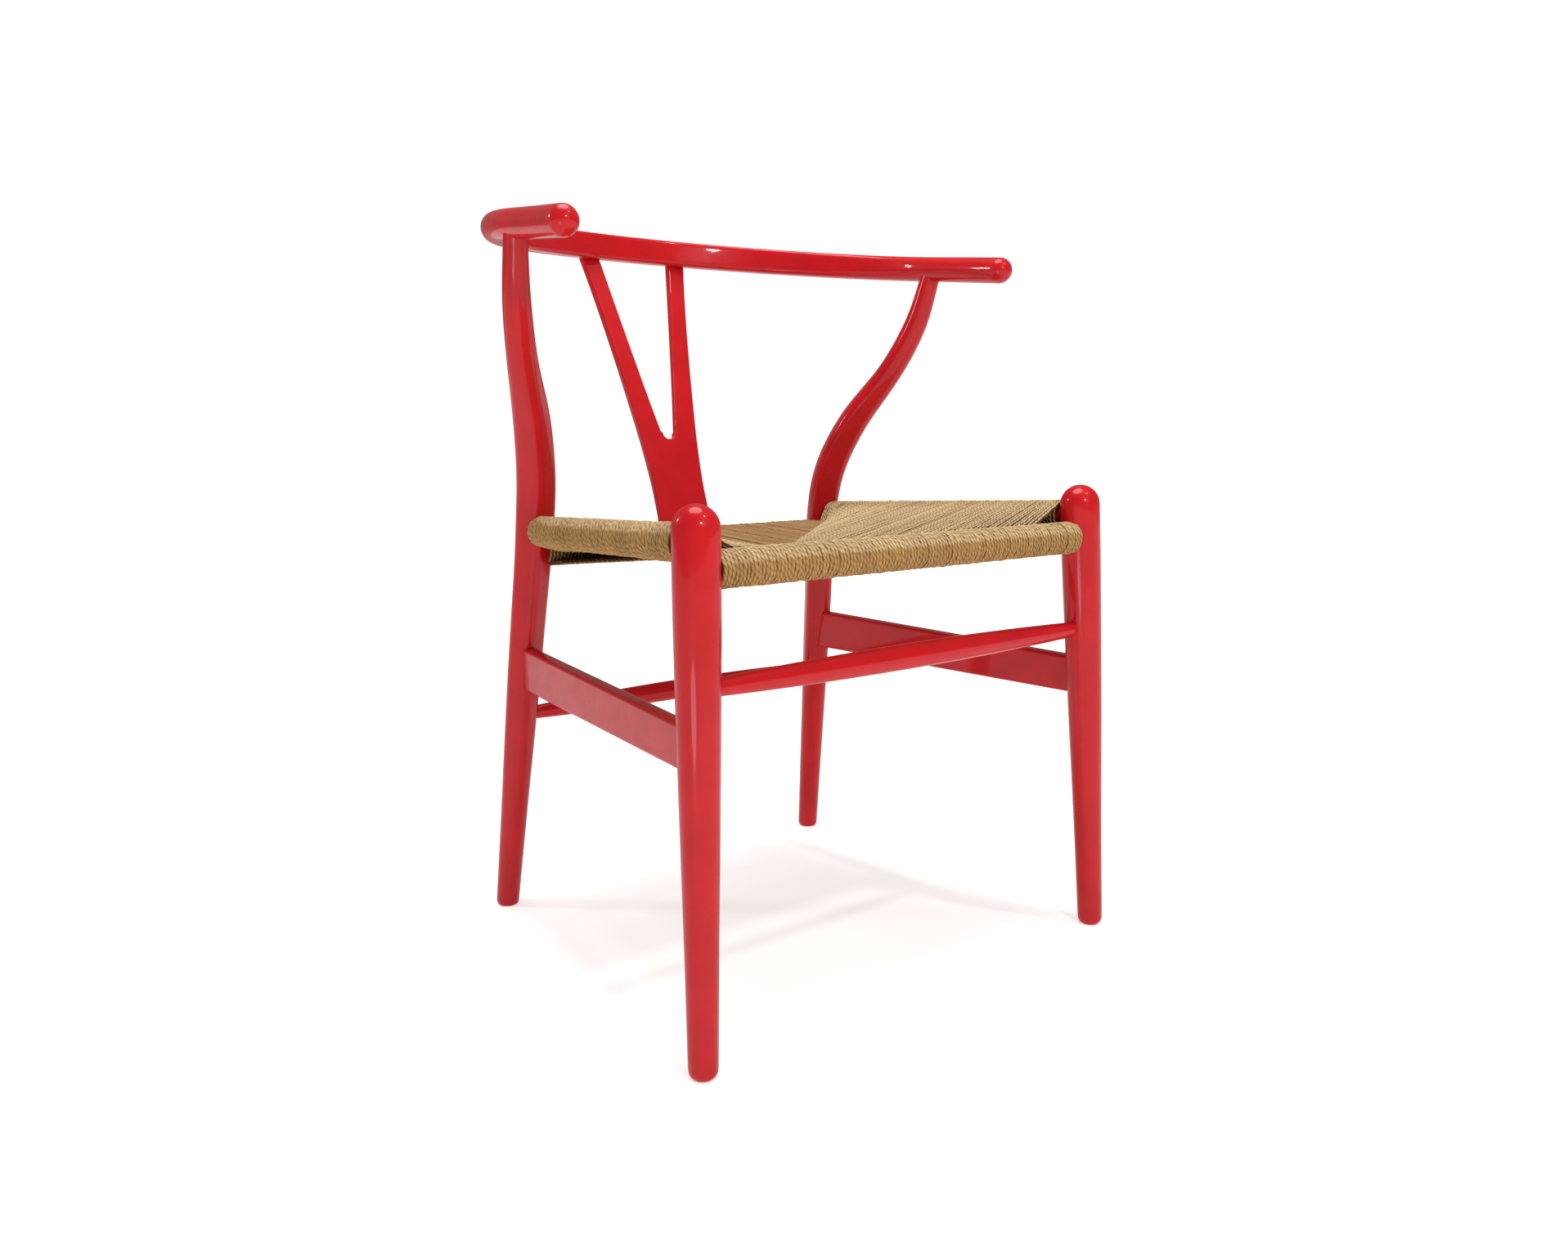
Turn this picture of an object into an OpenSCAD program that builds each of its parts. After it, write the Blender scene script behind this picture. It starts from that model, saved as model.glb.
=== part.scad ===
// Armchair: four legs, a bent one-piece arm and top rail, a forked back board,
// round seat rails, two side boards, front and rear stretchers, woven cord seat.
// Units are millimetres. +Z is up, the chair faces -Y, X = 0 is its mirror plane.
// Left and right are the sitter's. Origin: bottom centre of the whole chair.

/* [Overall] */

// Width across the outsides of the arms
overall_w = 554; // [500:1:660]
// Depth from the front legs to the back of the rail
overall_d = 528; // [440:1:620]
// Height of the bent rail's top at the back
overall_h = 776; // [740:1:920]

/* [Front legs] */

// Height of a front leg's domed top
front_leg_h = 472; // [466:1:560]
// Largest diameter of a front leg, under its dome
front_leg_dia = 39.6; // [34:0.1:48]
// Diameter of a front leg at the floor
front_foot_dia = 25.5; // [22:0.1:32]
// Distance between the front legs' axes at the floor
front_foot_span = 496.6; // [420:0.1:560]
// Distance between the front legs' axes at their tops
front_top_span = 461.6; // [400:0.1:520]

/* [Rear legs] */

// Width of a rear leg at seat height, where it is nearly square
rear_leg_size = 36; // [32:0.1:46]
// Diameter of a rear leg under the bent rail
rear_top_dia = 22.5; // [18:0.1:25]
// Diameter of a rear leg at the floor
rear_foot_dia = 25.5; // [22:0.1:32]
// Distance between the rear legs' axes at the floor
rear_foot_span = 444.4; // [380:0.1:520]
// Distance from the rear feet's axes to the back of the chair
rear_foot_inset = 46; // [20:0.1:80]
// How far a rear leg bows back and inwards from a straight line
rear_bow = 73; // [60:0.1:88]
// Turn of a rear leg's flat faces about the vertical
rear_turn = 27.5; // [15:0.5:45]

/* [Bent rail] */

// Diameter of the rail at the arms
rail_dia = 27.6; // [26:0.1:34]
// Height of the rail's section at the back
rail_back_h = 29.2; // [27:0.1:36]
// How much the rail's inner face is flattened at the back
rail_flat = 2.6; // [0:0.1:5]
// Height of the rail's axis at the arm ends
arm_h = 706.5; // [640:1:730]
// Length of the straight part of each arm
arm_straight = 99.4; // [40:0.1:120]
// Outward flare of each arm end
arm_flare = 3.4; // [0:0.1:12]
// Distance the rail's bend starts in front of the middle of the depth
bend_start = 3.9; // [0:0.1:40]

/* [Back board] */

// Thickness of the forked board
splat_t = 9; // [7:0.1:11]
// Width of the board where it meets the rear seat rail
splat_base_w = 70; // [56:0.5:86]
// Width across the fork's two tips, at the rail's underside
splat_top_w = 139; // [116:1:176]
// Width of each of the fork's two arms at its tip
splat_arm_w = 22; // [18:0.5:32]
// Height above the floor of the bottom of the fork's opening
crotch_h = 538; // [500:1:580]
// How deep the board's ends are housed in the rails
splat_housing = 11; // [6:0.5:12]

/* [Seat] */

// Diameter of the wooden seat rails
seat_rail_dia = 24; // [21:0.1:30]
// Diameter of the seat rails' ends in the legs
seat_tenon_dia = 18; // [14:0.1:20]
// Height of the front seat rail's axis
seat_front_h = 419; // [400:1:424]
// Height of the side seat rails' axes at the front legs
seat_side_front_h = 440.5; // [440:0.5:450]
// Height of the side seat rails' axes at the rear legs
seat_side_rear_h = 436.5; // [435:0.5:450]
// Height of the rear seat rail's axis
seat_rear_h = 414; // [400:1:416]
// Diameter of the paper cord
cord_dia = 3.9; // [2.5:0.1:4.7]
// Height of the seat's upper face at its middle
seat_middle_h = 417; // [408:0.5:430]
// Half the length of the seam in the middle of the seat
seam_half = 22; // [5:1:60]

/* [Stretchers] */

// Height of the front stretcher's axis
front_stretcher_h = 324; // [290:1:340]
// Height of the rear stretcher's axis
rear_stretcher_h = 231; // [180:1:240]
// Depth of the leaf-shaped stretchers' section at their middle
leaf_h = 24; // [20:0.1:30]
// Thickness of the leaf-shaped stretchers at their middle
leaf_t = 18; // [16:0.1:24]
// Diameter of those stretchers' ends in the legs
leaf_tenon_dia = 14; // [10:0.1:17]
// Thickness of the side boards
board_t = 15; // [12:0.1:19]
// Height of a side board at the front leg
board_front_w = 38.5; // [32:0.5:50]
// Height of a side board at the rear leg
board_rear_w = 47; // [38:0.5:60]
// Height of a side board's middle at the front leg
board_front_h = 273.5; // [230:1:280]
// Height of a side board's middle at the rear leg
board_rear_h = 286; // [270:1:330]

/* [Joinery] */

// How far past a leg's axis a round tenon goes
tenon_past = 10; // [4:0.5:11]
// Gap for glue on each side of a tenon or a housed board
glue_gap = 0.1; // [0.05:0.01:0.2]
// Diameter of the dowel from a rear leg up into the bent rail
post_dowel_dia = 12; // [8:0.1:14]

/* [Hidden] */

$fn = 64;
lacquer = [0.75, 0.09, 0.12];
cord_tan = [0.68, 0.55, 0.37];
foot_round = 9;
floor_cut = 20;
big = 900;

// ---- helpers: vectors, blends and smooth curves through [position, value] rows ----
function unit(v) = v / norm(v);
function mix(a, b, t) = a + (b - a) * t;
function clamp01(t) = max(0, min(1, t));
function smooth(t) = clamp01(t) * clamp01(t) * (3 - 2 * clamp01(t));
function row_of(tab, s, i = 0) = (i >= len(tab) - 2 || s < tab[i + 1][0]) ? i : row_of(tab, s, i + 1);
function rise(tab, i, j) = (tab[j][1] - tab[i][1]) / (tab[j][0] - tab[i][0]);
function slope(tab, i) = rise(tab, max(i - 1, 0), min(i + 1, len(tab) - 1));
function hermite(a, b, ma, mb, h, t) = a * (1 + 2 * t) * (1 - t) * (1 - t)
  + h * ma * t * (1 - t) * (1 - t) + b * t * t * (3 - 2 * t) + h * mb * t * t * (t - 1);
function curve_in(tab, i, s) = hermite(tab[i][1], tab[i + 1][1], slope(tab, i), slope(tab, i + 1),
  tab[i + 1][0] - tab[i][0], (s - tab[i][0]) / (tab[i + 1][0] - tab[i][0]));
function curve(tab, s) = curve_in(tab, row_of(tab, s), s);

// ---- front leg's axis, leaning in towards its top ----
front_foot = [front_foot_span / 2, -overall_d / 2 + front_foot_dia / 2 + 1, 0];
front_top = [front_top_span / 2, -overall_d / 2 + front_leg_dia / 2 + 1.1, front_leg_h];
front_len = norm(front_top - front_foot);
function front_at(z) = mix(front_foot, front_top, z / front_leg_h);

// ---- bent rail's axis: straight arms and a half ellipse, tilted up to the back ----
// u runs from -120 at the right arm's end, through -90 to 90 round the bend, to 120
arm_u = 30;
rail_b = overall_d / 2 - rail_dia / 2 + bend_start;
rail_a = overall_w / 2 - rail_dia / 2 - arm_flare;
arm_end_y = -bend_start - arm_straight;
rail_slope = (overall_h - rail_back_h / 2 - arm_h) / (rail_b - bend_start - arm_end_y);
function rail_z(y) = arm_h + (y - arm_end_y) * rail_slope;
function arm_t(u) = (abs(u) - 90) / arm_u;
function rail_xy(u) = abs(u) > 90
  ? [sign(u) * (rail_a + arm_flare * arm_t(u) * arm_t(u)), -bend_start - arm_straight * arm_t(u)]
  : [rail_a * sin(u), rail_b * cos(u) - bend_start];
function rail_at(u) = [rail_xy(u)[0], rail_xy(u)[1], rail_z(rail_xy(u)[1])];
function rail_dir(u) = unit(rail_at(u + 0.5) - rail_at(u - 0.5));

// ---- rear leg's axis: a straight line from foot to rail, with a bow in one plane ----
post_y = 3.2;
post_u = acos((post_y + bend_start) / rail_b);
post_joint = rail_at(post_u);
rear_foot = [rear_foot_span / 2, overall_d / 2 - rear_foot_inset, 0];
rear_top = post_joint - [0.6, 0, rail_dia / 2 - 2.8];
bow_dir = [-0.675, 0.737, 0];
// height as a share of the leg's own height, and bow as a share of the largest bow
bow_shape = [[0, 0], [0.28, 0.444], [0.46, 0.734], [0.60, 0.963], [0.69, 0.997], [0.77, 0.775],
  [0.857, 0.305], [0.927, 0.07], [1, 0], [1.04, 0]];
function rear_at(z) = mix(rear_foot, rear_top, z / rear_top[2])
  + bow_dir * rear_bow * curve(bow_shape, z / rear_top[2]);
// half width, and how round the corners are: 1 is a circle
rear_half = [[0, rear_foot_dia / 2], [0.17, rear_foot_dia / 2 + 1.6], [0.35, rear_leg_size / 2 - 2.2],
  [0.53, rear_leg_size / 2 - 1.2], [0.66, rear_leg_size / 2 - 0.4], [0.77, rear_leg_size / 2 - 1.4],
  [0.85, rear_leg_size / 2 - 4], [0.92, rear_top_dia / 2 + 2], [1, rear_top_dia / 2],
  [1.04, rear_top_dia / 2]];
rear_corner = [[0, 1], [0.17, 0.9], [0.35, 0.72], [0.53, 0.64], [0.66, 0.6], [0.77, 0.64],
  [0.857, 0.82], [0.92, 0.97], [1, 1], [1.04, 1]];

// ---- joints in the legs ----
front_joint = front_at(seat_front_h);
side_front_joint = front_at(seat_side_front_h);
side_rear_joint = rear_at(seat_side_rear_h);
rear_joint = rear_at(seat_rear_h);
front_leaf_joint = front_at(front_stretcher_h);
rear_leaf_joint = rear_at(rear_stretcher_h);
board_front = front_at(board_front_h);
board_rear = rear_at(board_rear_h);
// how far from a leg's axis a round rail's full body starts to swell out of its tenon
front_shoulder = front_leg_dia / 2 + 0.2;
rear_shoulder = rear_leg_size / 2 + 3;
board_in_front = 9;
board_in_rear = 8;
post_run = unit(rear_at(rear_top[2]) - rear_at(rear_top[2] - 20));
post_low = rear_at(rear_top[2] - 18);
post_len = (post_joint[2] + 3 - post_low[2]) / post_run[2];

// ---- forked board: its plane, from the rear seat rail up to the bent rail ----
splat_set_back = 3.5;
rail_back = rail_at(0);
splat_foot = [0, rear_joint[1] + 4.5, seat_rear_h + seat_rail_dia / 2];
splat_head = [0, rail_back[1] + splat_set_back, rail_back[2] - 2];
splat_lean = atan2(splat_head[1] - splat_foot[1], splat_head[2] - splat_foot[2]);
splat_len = norm(splat_head - splat_foot);
splat_up = (splat_len - 4) / 338;
// distance up the board, and half width there as a share of the change from waist to tips
splat_edge = [[0, 0.03], [25, 0], [55, 0], [90, 0.06], [120, 0.14], [150, 0.24], [195, 0.40],
  [240, 0.58], [285, 0.78], [328, 1], [352, 1.14]];
splat_waist = splat_base_w / 2 - 1.2;
splat_tip = splat_top_w / 2;
fork_open = splat_tip - splat_arm_w;
fork_foot = crotch_h - splat_foot[2];
crotch_r = 8;
function board_half(s) = mix(splat_waist, splat_tip, curve(splat_edge, s / splat_up));
function fork_half(s) = mix(crotch_r, fork_open, pow(clamp01((s - fork_foot) / (splat_len - 12 - fork_foot)), 0.93));
splat_rows = 22;
fork_rows = 14;
splat_end = splat_len - 4 + splat_housing - 6;

// ring of a swept leg: a square with rounded corners in the plane of a and b
function leg_ring(c, a, b, h, k) = [for (q = [0:3]) for (j = [0:5])
  let (t = q * 90 + (j + 0.5) * 15, m = h * (1 - k),
    sx = (q == 0 || q == 3) ? 1 : -1, sy = q < 2 ? 1 : -1)
  c + a * (sx * m + h * k * cos(t)) + b * (sy * m + h * k * sin(t))];
function skin(n, m) = concat([[for (j = [0:m - 1]) j]],
  [for (i = [0:n - 2]) for (j = [0:m - 1]) [i * m + j, (i + 1) * m + j, (i + 1) * m + (j + 1) % m]],
  [for (i = [0:n - 2]) for (j = [0:m - 1]) [i * m + j, (i + 1) * m + (j + 1) % m, i * m + (j + 1) % m]],
  [[for (j = [m - 1:-1:0]) (n - 1) * m + j]]);
module sweep(rings) {
  polyhedron(points = [for (r = rings) for (p = r) p], faces = skin(len(rings), len(rings[0])));
}
// puts a part's +Z on the line from p to q
module along(p, q) {
  d = q - p;
  translate(p)
    rotate([0, acos(d[2] / norm(d)), atan2(d[1], d[0])])
      children();
}
// the same joint on the other side of the chair
function other_side(p) = [-p[0], p[1], p[2]];
// round bar from axis to axis, with slimmer ends that enter bores past the axes
module round_rail(p, q, shoulder_p, shoulder_q) {
  run = norm(q - p);
  r = seat_rail_dia / 2;
  e = seat_tenon_dia / 2;
  taper = 10;
  along(p, q)
    rotate_extrude()
      polygon([[0, -tenon_past], [e, -tenon_past], [e, shoulder_p], [r, shoulder_p + taper],
        [r, run - shoulder_q - taper], [e, run - shoulder_q], [e, run + tenon_past], [0, run + tenon_past]]);
}
// blind bore in a leg: its floor lies past the leg's axis p, its mouth towards q
module bore_to(p, q, dia) {
  along(p, q)
    translate([0, 0, -tenon_past - 0.5])
      cylinder(d = dia + 2 * glue_gap, h = tenon_past + 50);
}
module below_floor() {
  translate([-big / 2, -big / 2, -floor_cut])
    cube([big, big, floor_cut]);
}

// ---- legs ----
module side_board(grow) {
  d = board_rear - board_front;
  run = norm([d[0], d[1]]);
  hf = board_front_w / 2 + grow;
  hr = board_rear_w / 2 + grow;
  x0 = board_in_front - grow;
  x1 = run - board_in_rear + grow;
  translate([board_front[0], board_front[1], 0])
    rotate([90, 0, atan2(d[1], d[0])])
      translate([0, 0, -board_t / 2 - grow])
        linear_extrude(height = board_t + 2 * grow)
          polygon([[x0, board_front_h - hf], [x1, board_rear_h - hr], [x1, board_rear_h + hr],
            [x0, board_front_h + hf]]);
}
module front_leg_turning() {
  r0 = front_foot_dia / 2;
  rm = front_leg_dia / 2;
  dome = front_len - rm;
  below = 1.5;
  side = [[0, r0], [0.25, r0 + 1.9], [0.53, rm - 2.3], [0.85, rm], [1, rm]];
  along(front_foot, front_top) {
    rotate_extrude()
      polygon(concat([[0, -below]],
        [for (a = [0:15:90]) [r0 - foot_round + foot_round * sin(a), foot_round * (1 - cos(a)) - below]],
        [for (i = [1:14]) let (s = mix(8, dome, i / 14)) [curve(side, s / front_len), s]], [[0, dome]]));
    translate([0, 0, dome])
      sphere(r = rm);
  }
}
module front_leg() {
  difference() {
    front_leg_turning();
    below_floor();
    bore_to(front_joint, other_side(front_joint), seat_tenon_dia);
    bore_to(side_front_joint, side_rear_joint, seat_tenon_dia);
    bore_to(front_leaf_joint, other_side(front_leaf_joint), leaf_tenon_dia);
    side_board(glue_gap);
  }
}
function rounded_foot(z, h) = z >= foot_round ? h
  : h - foot_round + sqrt(foot_round * foot_round - (foot_round - z) * (foot_round - z));
function rear_ring(z) = let (t = unit(rear_at(z + 1) - rear_at(z - 1)), s = z / rear_top[2],
    face = [-sin(rear_turn), -cos(rear_turn), 0], a = unit(face - t * (face * t)), b = cross(t, a))
  leg_ring(rear_at(z), a, b, rounded_foot(z + 3, curve(rear_half, max(s, 0))), curve(rear_corner, max(s, 0)));
module rear_leg() {
  foot_rings = [for (z = [-2.4, -0.5, 2, 5]) rear_ring(z)];
  upper_rings = [for (i = [0:38]) rear_ring(mix(9, rear_top[2] + 10, i / 38))];
  difference() {
    sweep(concat(foot_rings, upper_rings));
    below_floor();
    along(post_joint - rail_dir(post_u) * 40, post_joint + rail_dir(post_u) * 40)
      cylinder(d = rail_dia + 2 * glue_gap, h = 80);
    bore_to(side_rear_joint, side_front_joint, seat_tenon_dia);
    bore_to(rear_joint, other_side(rear_joint), seat_tenon_dia);
    bore_to(rear_leaf_joint, other_side(rear_leaf_joint), leaf_tenon_dia);
    side_board(glue_gap);
  }
  translate(post_low)
    along([0, 0, 0], post_run)
      cylinder(d = post_dowel_dia, h = post_len);
}

// ---- bent rail: round at the arms, taller with a flatter inner face at the back ----
rail_points = 24;
function back_share(u) = smooth((100 - abs(u)) / 75);
function rail_ring(u) = let (t = rail_dir(u), b = unit([0, 0, 1] - t * t[2]), a = cross(b, t),
    w = back_share(u), rv = mix(rail_dia, rail_back_h, w) / 2, ri = rail_dia / 2 - rail_flat * w)
  [for (j = [0:rail_points - 1]) let (g = j * 360 / rail_points, c = cos(g))
    rail_at(u) + a * (c >= 0 ? c * rail_dia / 2 : -ri * pow(-c, 1 - 0.34 * w)) + b * rv * sin(g)];
function arm_cap(end, k) = let (t = rail_dir(end), b = unit([0, 0, 1] - t * t[2]), a = cross(b, t), r = rail_dia / 2)
  [for (j = [0:rail_points - 1]) let (g = j * 360 / rail_points)
    rail_at(end) + t * sign(end) * r * sin(k) + (a * cos(g) + b * sin(g)) * r * cos(k)];
module top_rail() {
  arm_end = 90 + arm_u;
  color(lacquer)
    difference() {
      sweep(concat([for (k = [82:-16:18]) arm_cap(-arm_end, k)],
        [for (i = [0:64]) rail_ring(mix(-arm_end, arm_end, i / 64))],
        [for (k = [18:16:82]) arm_cap(arm_end, k)]));
      splat_board(glue_gap);
      for (m = [0, 1])
        mirror([m, 0, 0])
          translate(post_low)
            along([0, 0, 0], post_run)
              cylinder(d = post_dowel_dia + 2 * glue_gap, h = post_len + 0.3);
    }
}

// ---- forked back board, a flat board cut to a Y ----
function board_outline(g) = concat(
  [for (i = [0:splat_rows]) let (s = mix(-splat_housing - g, splat_end + g, i / splat_rows))
    [-board_half(s) - g, s]],
  [for (i = [0:fork_rows]) let (s = mix(splat_end + g, fork_foot + crotch_r + 2, i / fork_rows))
    [-fork_half(s) + g, s]],
  [for (a = [0:20:180]) [-(crotch_r - g) * cos(a), fork_foot + crotch_r - (crotch_r - g) * sin(a)]],
  [for (i = [fork_rows:-1:0]) let (s = mix(splat_end + g, fork_foot + crotch_r + 2, i / fork_rows))
    [fork_half(s) - g, s]],
  [for (i = [splat_rows:-1:0]) let (s = mix(-splat_housing - g, splat_end + g, i / splat_rows))
    [board_half(s) + g, s]]);
module splat_board(grow) {
  translate(splat_foot)
    rotate([90 - splat_lean, 0, 0])
      translate([0, 0, -splat_t / 2 - grow])
        linear_extrude(height = splat_t + 2 * grow)
          polygon(board_outline(grow));
}
module back_splat() {
  color(lacquer)
    splat_board(0);
}

// ---- seat rails ----
module seat_rail_front() {
  color(lacquer)
    round_rail(other_side(front_joint), front_joint, front_shoulder, front_shoulder);
}
module seat_rail_rear() {
  color(lacquer)
    difference() {
      round_rail(other_side(rear_joint), rear_joint, rear_shoulder, rear_shoulder);
      splat_board(glue_gap);
    }
}
module seat_rail_left() {
  color(lacquer)
    round_rail(side_front_joint, side_rear_joint, front_shoulder, rear_shoulder);
}
module seat_rail_right() {
  color(lacquer)
    mirror([1, 0, 0])
      round_rail(side_front_joint, side_rear_joint, front_shoulder, rear_shoulder);
}

// ---- stretchers: leaf shapes with a crease, full at the middle, slim at the legs ----
leaf_points = 20;
function leaf_ring(p, q, t) = let (w = pow(sin(180 * clamp01(t)), 0.8),
    hv = mix(leaf_tenon_dia / 2 + 0.6, leaf_h / 2, w), hd = mix(leaf_tenon_dia / 2 + 0.4, leaf_t / 2, w))
  [for (j = [0:leaf_points - 1]) let (g = j * 360 / leaf_points)
    mix(p, q, t) + [0, hd * cos(g), hv * sign(sin(g)) * pow(abs(sin(g)), mix(1, 1.25, w))]];
module leaf_bar(joint, leg_half) {
  start = leg_half - joint[0];
  sweep([for (i = [0:20]) leaf_ring([start, joint[1], joint[2]], [-start, joint[1], joint[2]], i / 20)]);
  along(other_side(joint) - [tenon_past, 0, 0], joint)
    cylinder(d = leaf_tenon_dia, h = 2 * (joint[0] + tenon_past));
}
module front_stretcher() {
  color(lacquer)
    leaf_bar(front_leaf_joint, front_leg_dia / 2 + 0.2);
}
module rear_stretcher() {
  color(lacquer)
    leaf_bar(rear_leaf_joint, rear_leg_size / 2 + 0.2);
}

// ---- pieces on both sides ----
module front_leg_left() {
  color(lacquer)
    front_leg();
}
module front_leg_right() {
  color(lacquer)
    mirror([1, 0, 0])
      front_leg();
}
module rear_leg_left() {
  color(lacquer)
    rear_leg();
}
module rear_leg_right() {
  color(lacquer)
    mirror([1, 0, 0])
      rear_leg();
}
module side_stretcher_left() {
  color(lacquer)
    side_board(0);
}
module side_stretcher_right() {
  color(lacquer)
    mirror([1, 0, 0])
      side_board(0);
}

// ---- woven cord seat: each panel wraps its rail and runs to the diagonal seams ----
wrap_r = seat_rail_dia / 2 + cord_dia;
front_clear = front_leg_dia / 2 + 0.8;
rear_clear = rear_leg_size / 2 + 4.5;
side_rear_clear = rear_leg_size / 2 + 8;
seam_y = front_joint[1] + front_joint[0] - seam_half;
front_corner = [front_joint[0] - front_clear, front_joint[1] + front_clear];
rear_corner_xy = [rear_joint[0] - rear_clear, rear_joint[1] - rear_clear];
function side_axis(y) = mix(side_front_joint, side_rear_joint,
  (y - side_front_joint[1]) / (side_rear_joint[1] - side_front_joint[1]));
// the layers sink this far into the wrap and into each other, so that a panel is one solid
bite = 0.4;
layer_r = wrap_r - bite;
seat_under_h = seat_middle_h - 2 * cord_dia + bite;
function front_face(y, up) = mix(seat_front_h + up * layer_r, up > 0 ? seat_middle_h : seat_under_h,
  (y - front_joint[1]) / (seam_y - front_joint[1]));
function rear_face(y, up) = mix(seat_rear_h + up * layer_r, up > 0 ? seat_middle_h : seat_under_h,
  (y - rear_joint[1]) / (seam_y - rear_joint[1]));
// sheet one cord thick under or over a fan of points, the first point being the fan's hub
module sheet(pts, t) {
  n = len(pts);
  lo = [0, 0, min(0, t)];
  hi = [0, 0, max(0, t)];
  polyhedron(points = concat([for (p = pts) p + hi], [for (p = pts) p + lo]),
    faces = concat([for (i = [1:n - 2]) [0, i, i + 1]], [for (i = [1:n - 2]) [n, n + i + 1, n + i]],
      [for (i = [0:n - 1]) [i, n + (i + 1) % n, (i + 1) % n]], [for (i = [0:n - 1]) [i, n + i, n + (i + 1) % n]]));
}
module wrapped(p, q, from, to) {
  run = norm(q - p);
  difference() {
    union() {
      along(p, q)
        translate([0, 0, from])
          cylinder(r = wrap_r, h = run - from - to);
      children();
    }
    along(p, q)
      cylinder(d = seat_rail_dia + 0.06, h = run);
  }
}
module end_panel(joint, corner, up) {
  z0 = (joint[1] < 0) ? front_face(joint[1], up) : rear_face(joint[1], up);
  z1 = (joint[1] < 0) ? front_face(corner[1], up) : rear_face(corner[1], up);
  z2 = up > 0 ? seat_middle_h : seat_under_h;
  x = corner[0] - bite;
  ring = [[-x, joint[1], z0], [x, joint[1], z0], [x, corner[1], z1],
    [seam_half, seam_y, z2], [-seam_half, seam_y, z2], [-x, corner[1], z1]];
  sheet(joint[1] < 0 ? [for (i = [5:-1:0]) ring[i]] : ring, -up * cord_dia);
}
module side_panel(up) {
  fe = side_axis(front_corner[1] + bite) + [0, 0, up * layer_r];
  re = side_axis(rear_corner_xy[1] - bite) + [0, 0, up * layer_r];
  z2 = up > 0 ? seat_middle_h : seat_under_h;
  sheet([[seam_half, seam_y, z2], [rear_corner_xy[0], rear_corner_xy[1], rear_face(rear_corner_xy[1], up)],
    re, fe, [front_corner[0], front_corner[1], front_face(front_corner[1], up)]], -up * cord_dia);
}
module seat_cord_front() {
  color(cord_tan)
    wrapped(other_side(front_joint), front_joint, front_clear, front_clear)
      for (up = [-1, 1])
        end_panel(front_joint, front_corner, up);
}
module seat_cord_rear() {
  color(cord_tan)
    difference() {
      wrapped(other_side(rear_joint), rear_joint, rear_clear, rear_clear)
        for (up = [-1, 1])
          end_panel(rear_joint, rear_corner_xy, up);
      splat_board(2 * glue_gap);
    }
}
module side_cord() {
  wrapped(side_front_joint, side_rear_joint, front_clear, side_rear_clear)
    for (up = [-1, 1])
      side_panel(up);
}
module seat_cord_left() {
  color(cord_tan)
    side_cord();
}
module seat_cord_right() {
  color(cord_tan)
    mirror([1, 0, 0])
      side_cord();
}

front_leg_left();
front_leg_right();
rear_leg_left();
rear_leg_right();
top_rail();
back_splat();
seat_rail_front();
seat_rail_rear();
seat_rail_left();
seat_rail_right();
side_stretcher_left();
side_stretcher_right();
front_stretcher();
rear_stretcher();
seat_cord_front();
seat_cord_rear();
seat_cord_left();
seat_cord_right();
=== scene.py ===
"""Lacquered armchair with a woven paper-cord seat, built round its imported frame."""

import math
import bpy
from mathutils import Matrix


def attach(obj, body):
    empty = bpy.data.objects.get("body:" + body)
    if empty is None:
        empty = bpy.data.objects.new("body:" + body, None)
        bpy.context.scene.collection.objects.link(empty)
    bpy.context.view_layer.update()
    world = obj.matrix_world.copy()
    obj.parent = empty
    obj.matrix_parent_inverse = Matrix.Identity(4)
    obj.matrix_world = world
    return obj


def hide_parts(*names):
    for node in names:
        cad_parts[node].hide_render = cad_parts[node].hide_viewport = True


bl_info = {
    "name": "Lacquered Armchair",
    "version": (1, 0, 0),
    "blender": (4, 5, 0),
    "location": "View3D > Sidebar > Armchair",
    "description": "Builds a lacquered armchair with a forked back board and a woven cord seat",
    "category": "Add Mesh",
}

import bpy
import numpy as np
from bpy.props import FloatProperty, FloatVectorProperty, IntProperty, PointerProperty
from bpy.types import Operator, Panel, PropertyGroup
from mathutils import Matrix, Vector

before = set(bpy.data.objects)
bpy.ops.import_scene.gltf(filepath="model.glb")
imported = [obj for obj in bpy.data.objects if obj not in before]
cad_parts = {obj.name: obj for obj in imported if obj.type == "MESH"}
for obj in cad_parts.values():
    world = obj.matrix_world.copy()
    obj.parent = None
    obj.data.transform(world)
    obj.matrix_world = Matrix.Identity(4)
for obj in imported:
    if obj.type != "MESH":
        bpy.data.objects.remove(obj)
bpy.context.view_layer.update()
MM = 0.001
SIDEWAYS, BACKWARDS, UPWARDS = np.eye(3)


# ---- sizes and colours that a user would change ----


def length(label, text, millimetres):
    """A length property whose default is given in millimetres."""
    return FloatProperty(
        name=label, description=text, default=millimetres * MM, min=0.0, precision=4, unit="LENGTH"
    )


def linear_colour(code):
    """The linear RGB of an sRGB hex colour such as C8202A."""
    parts = [int(code[i : i + 2], 16) / 255 for i in (0, 2, 4)]
    return tuple(c / 12.92 if c <= 0.04045 else ((c + 0.055) / 1.055) ** 2.4 for c in parts)


def colour(label, text, code):
    """A colour property whose default is an sRGB hex colour."""
    return FloatVectorProperty(
        name=label, description=text, subtype="COLOR", size=3, min=0.0, max=1.0, default=linear_colour(code)
    )


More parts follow.
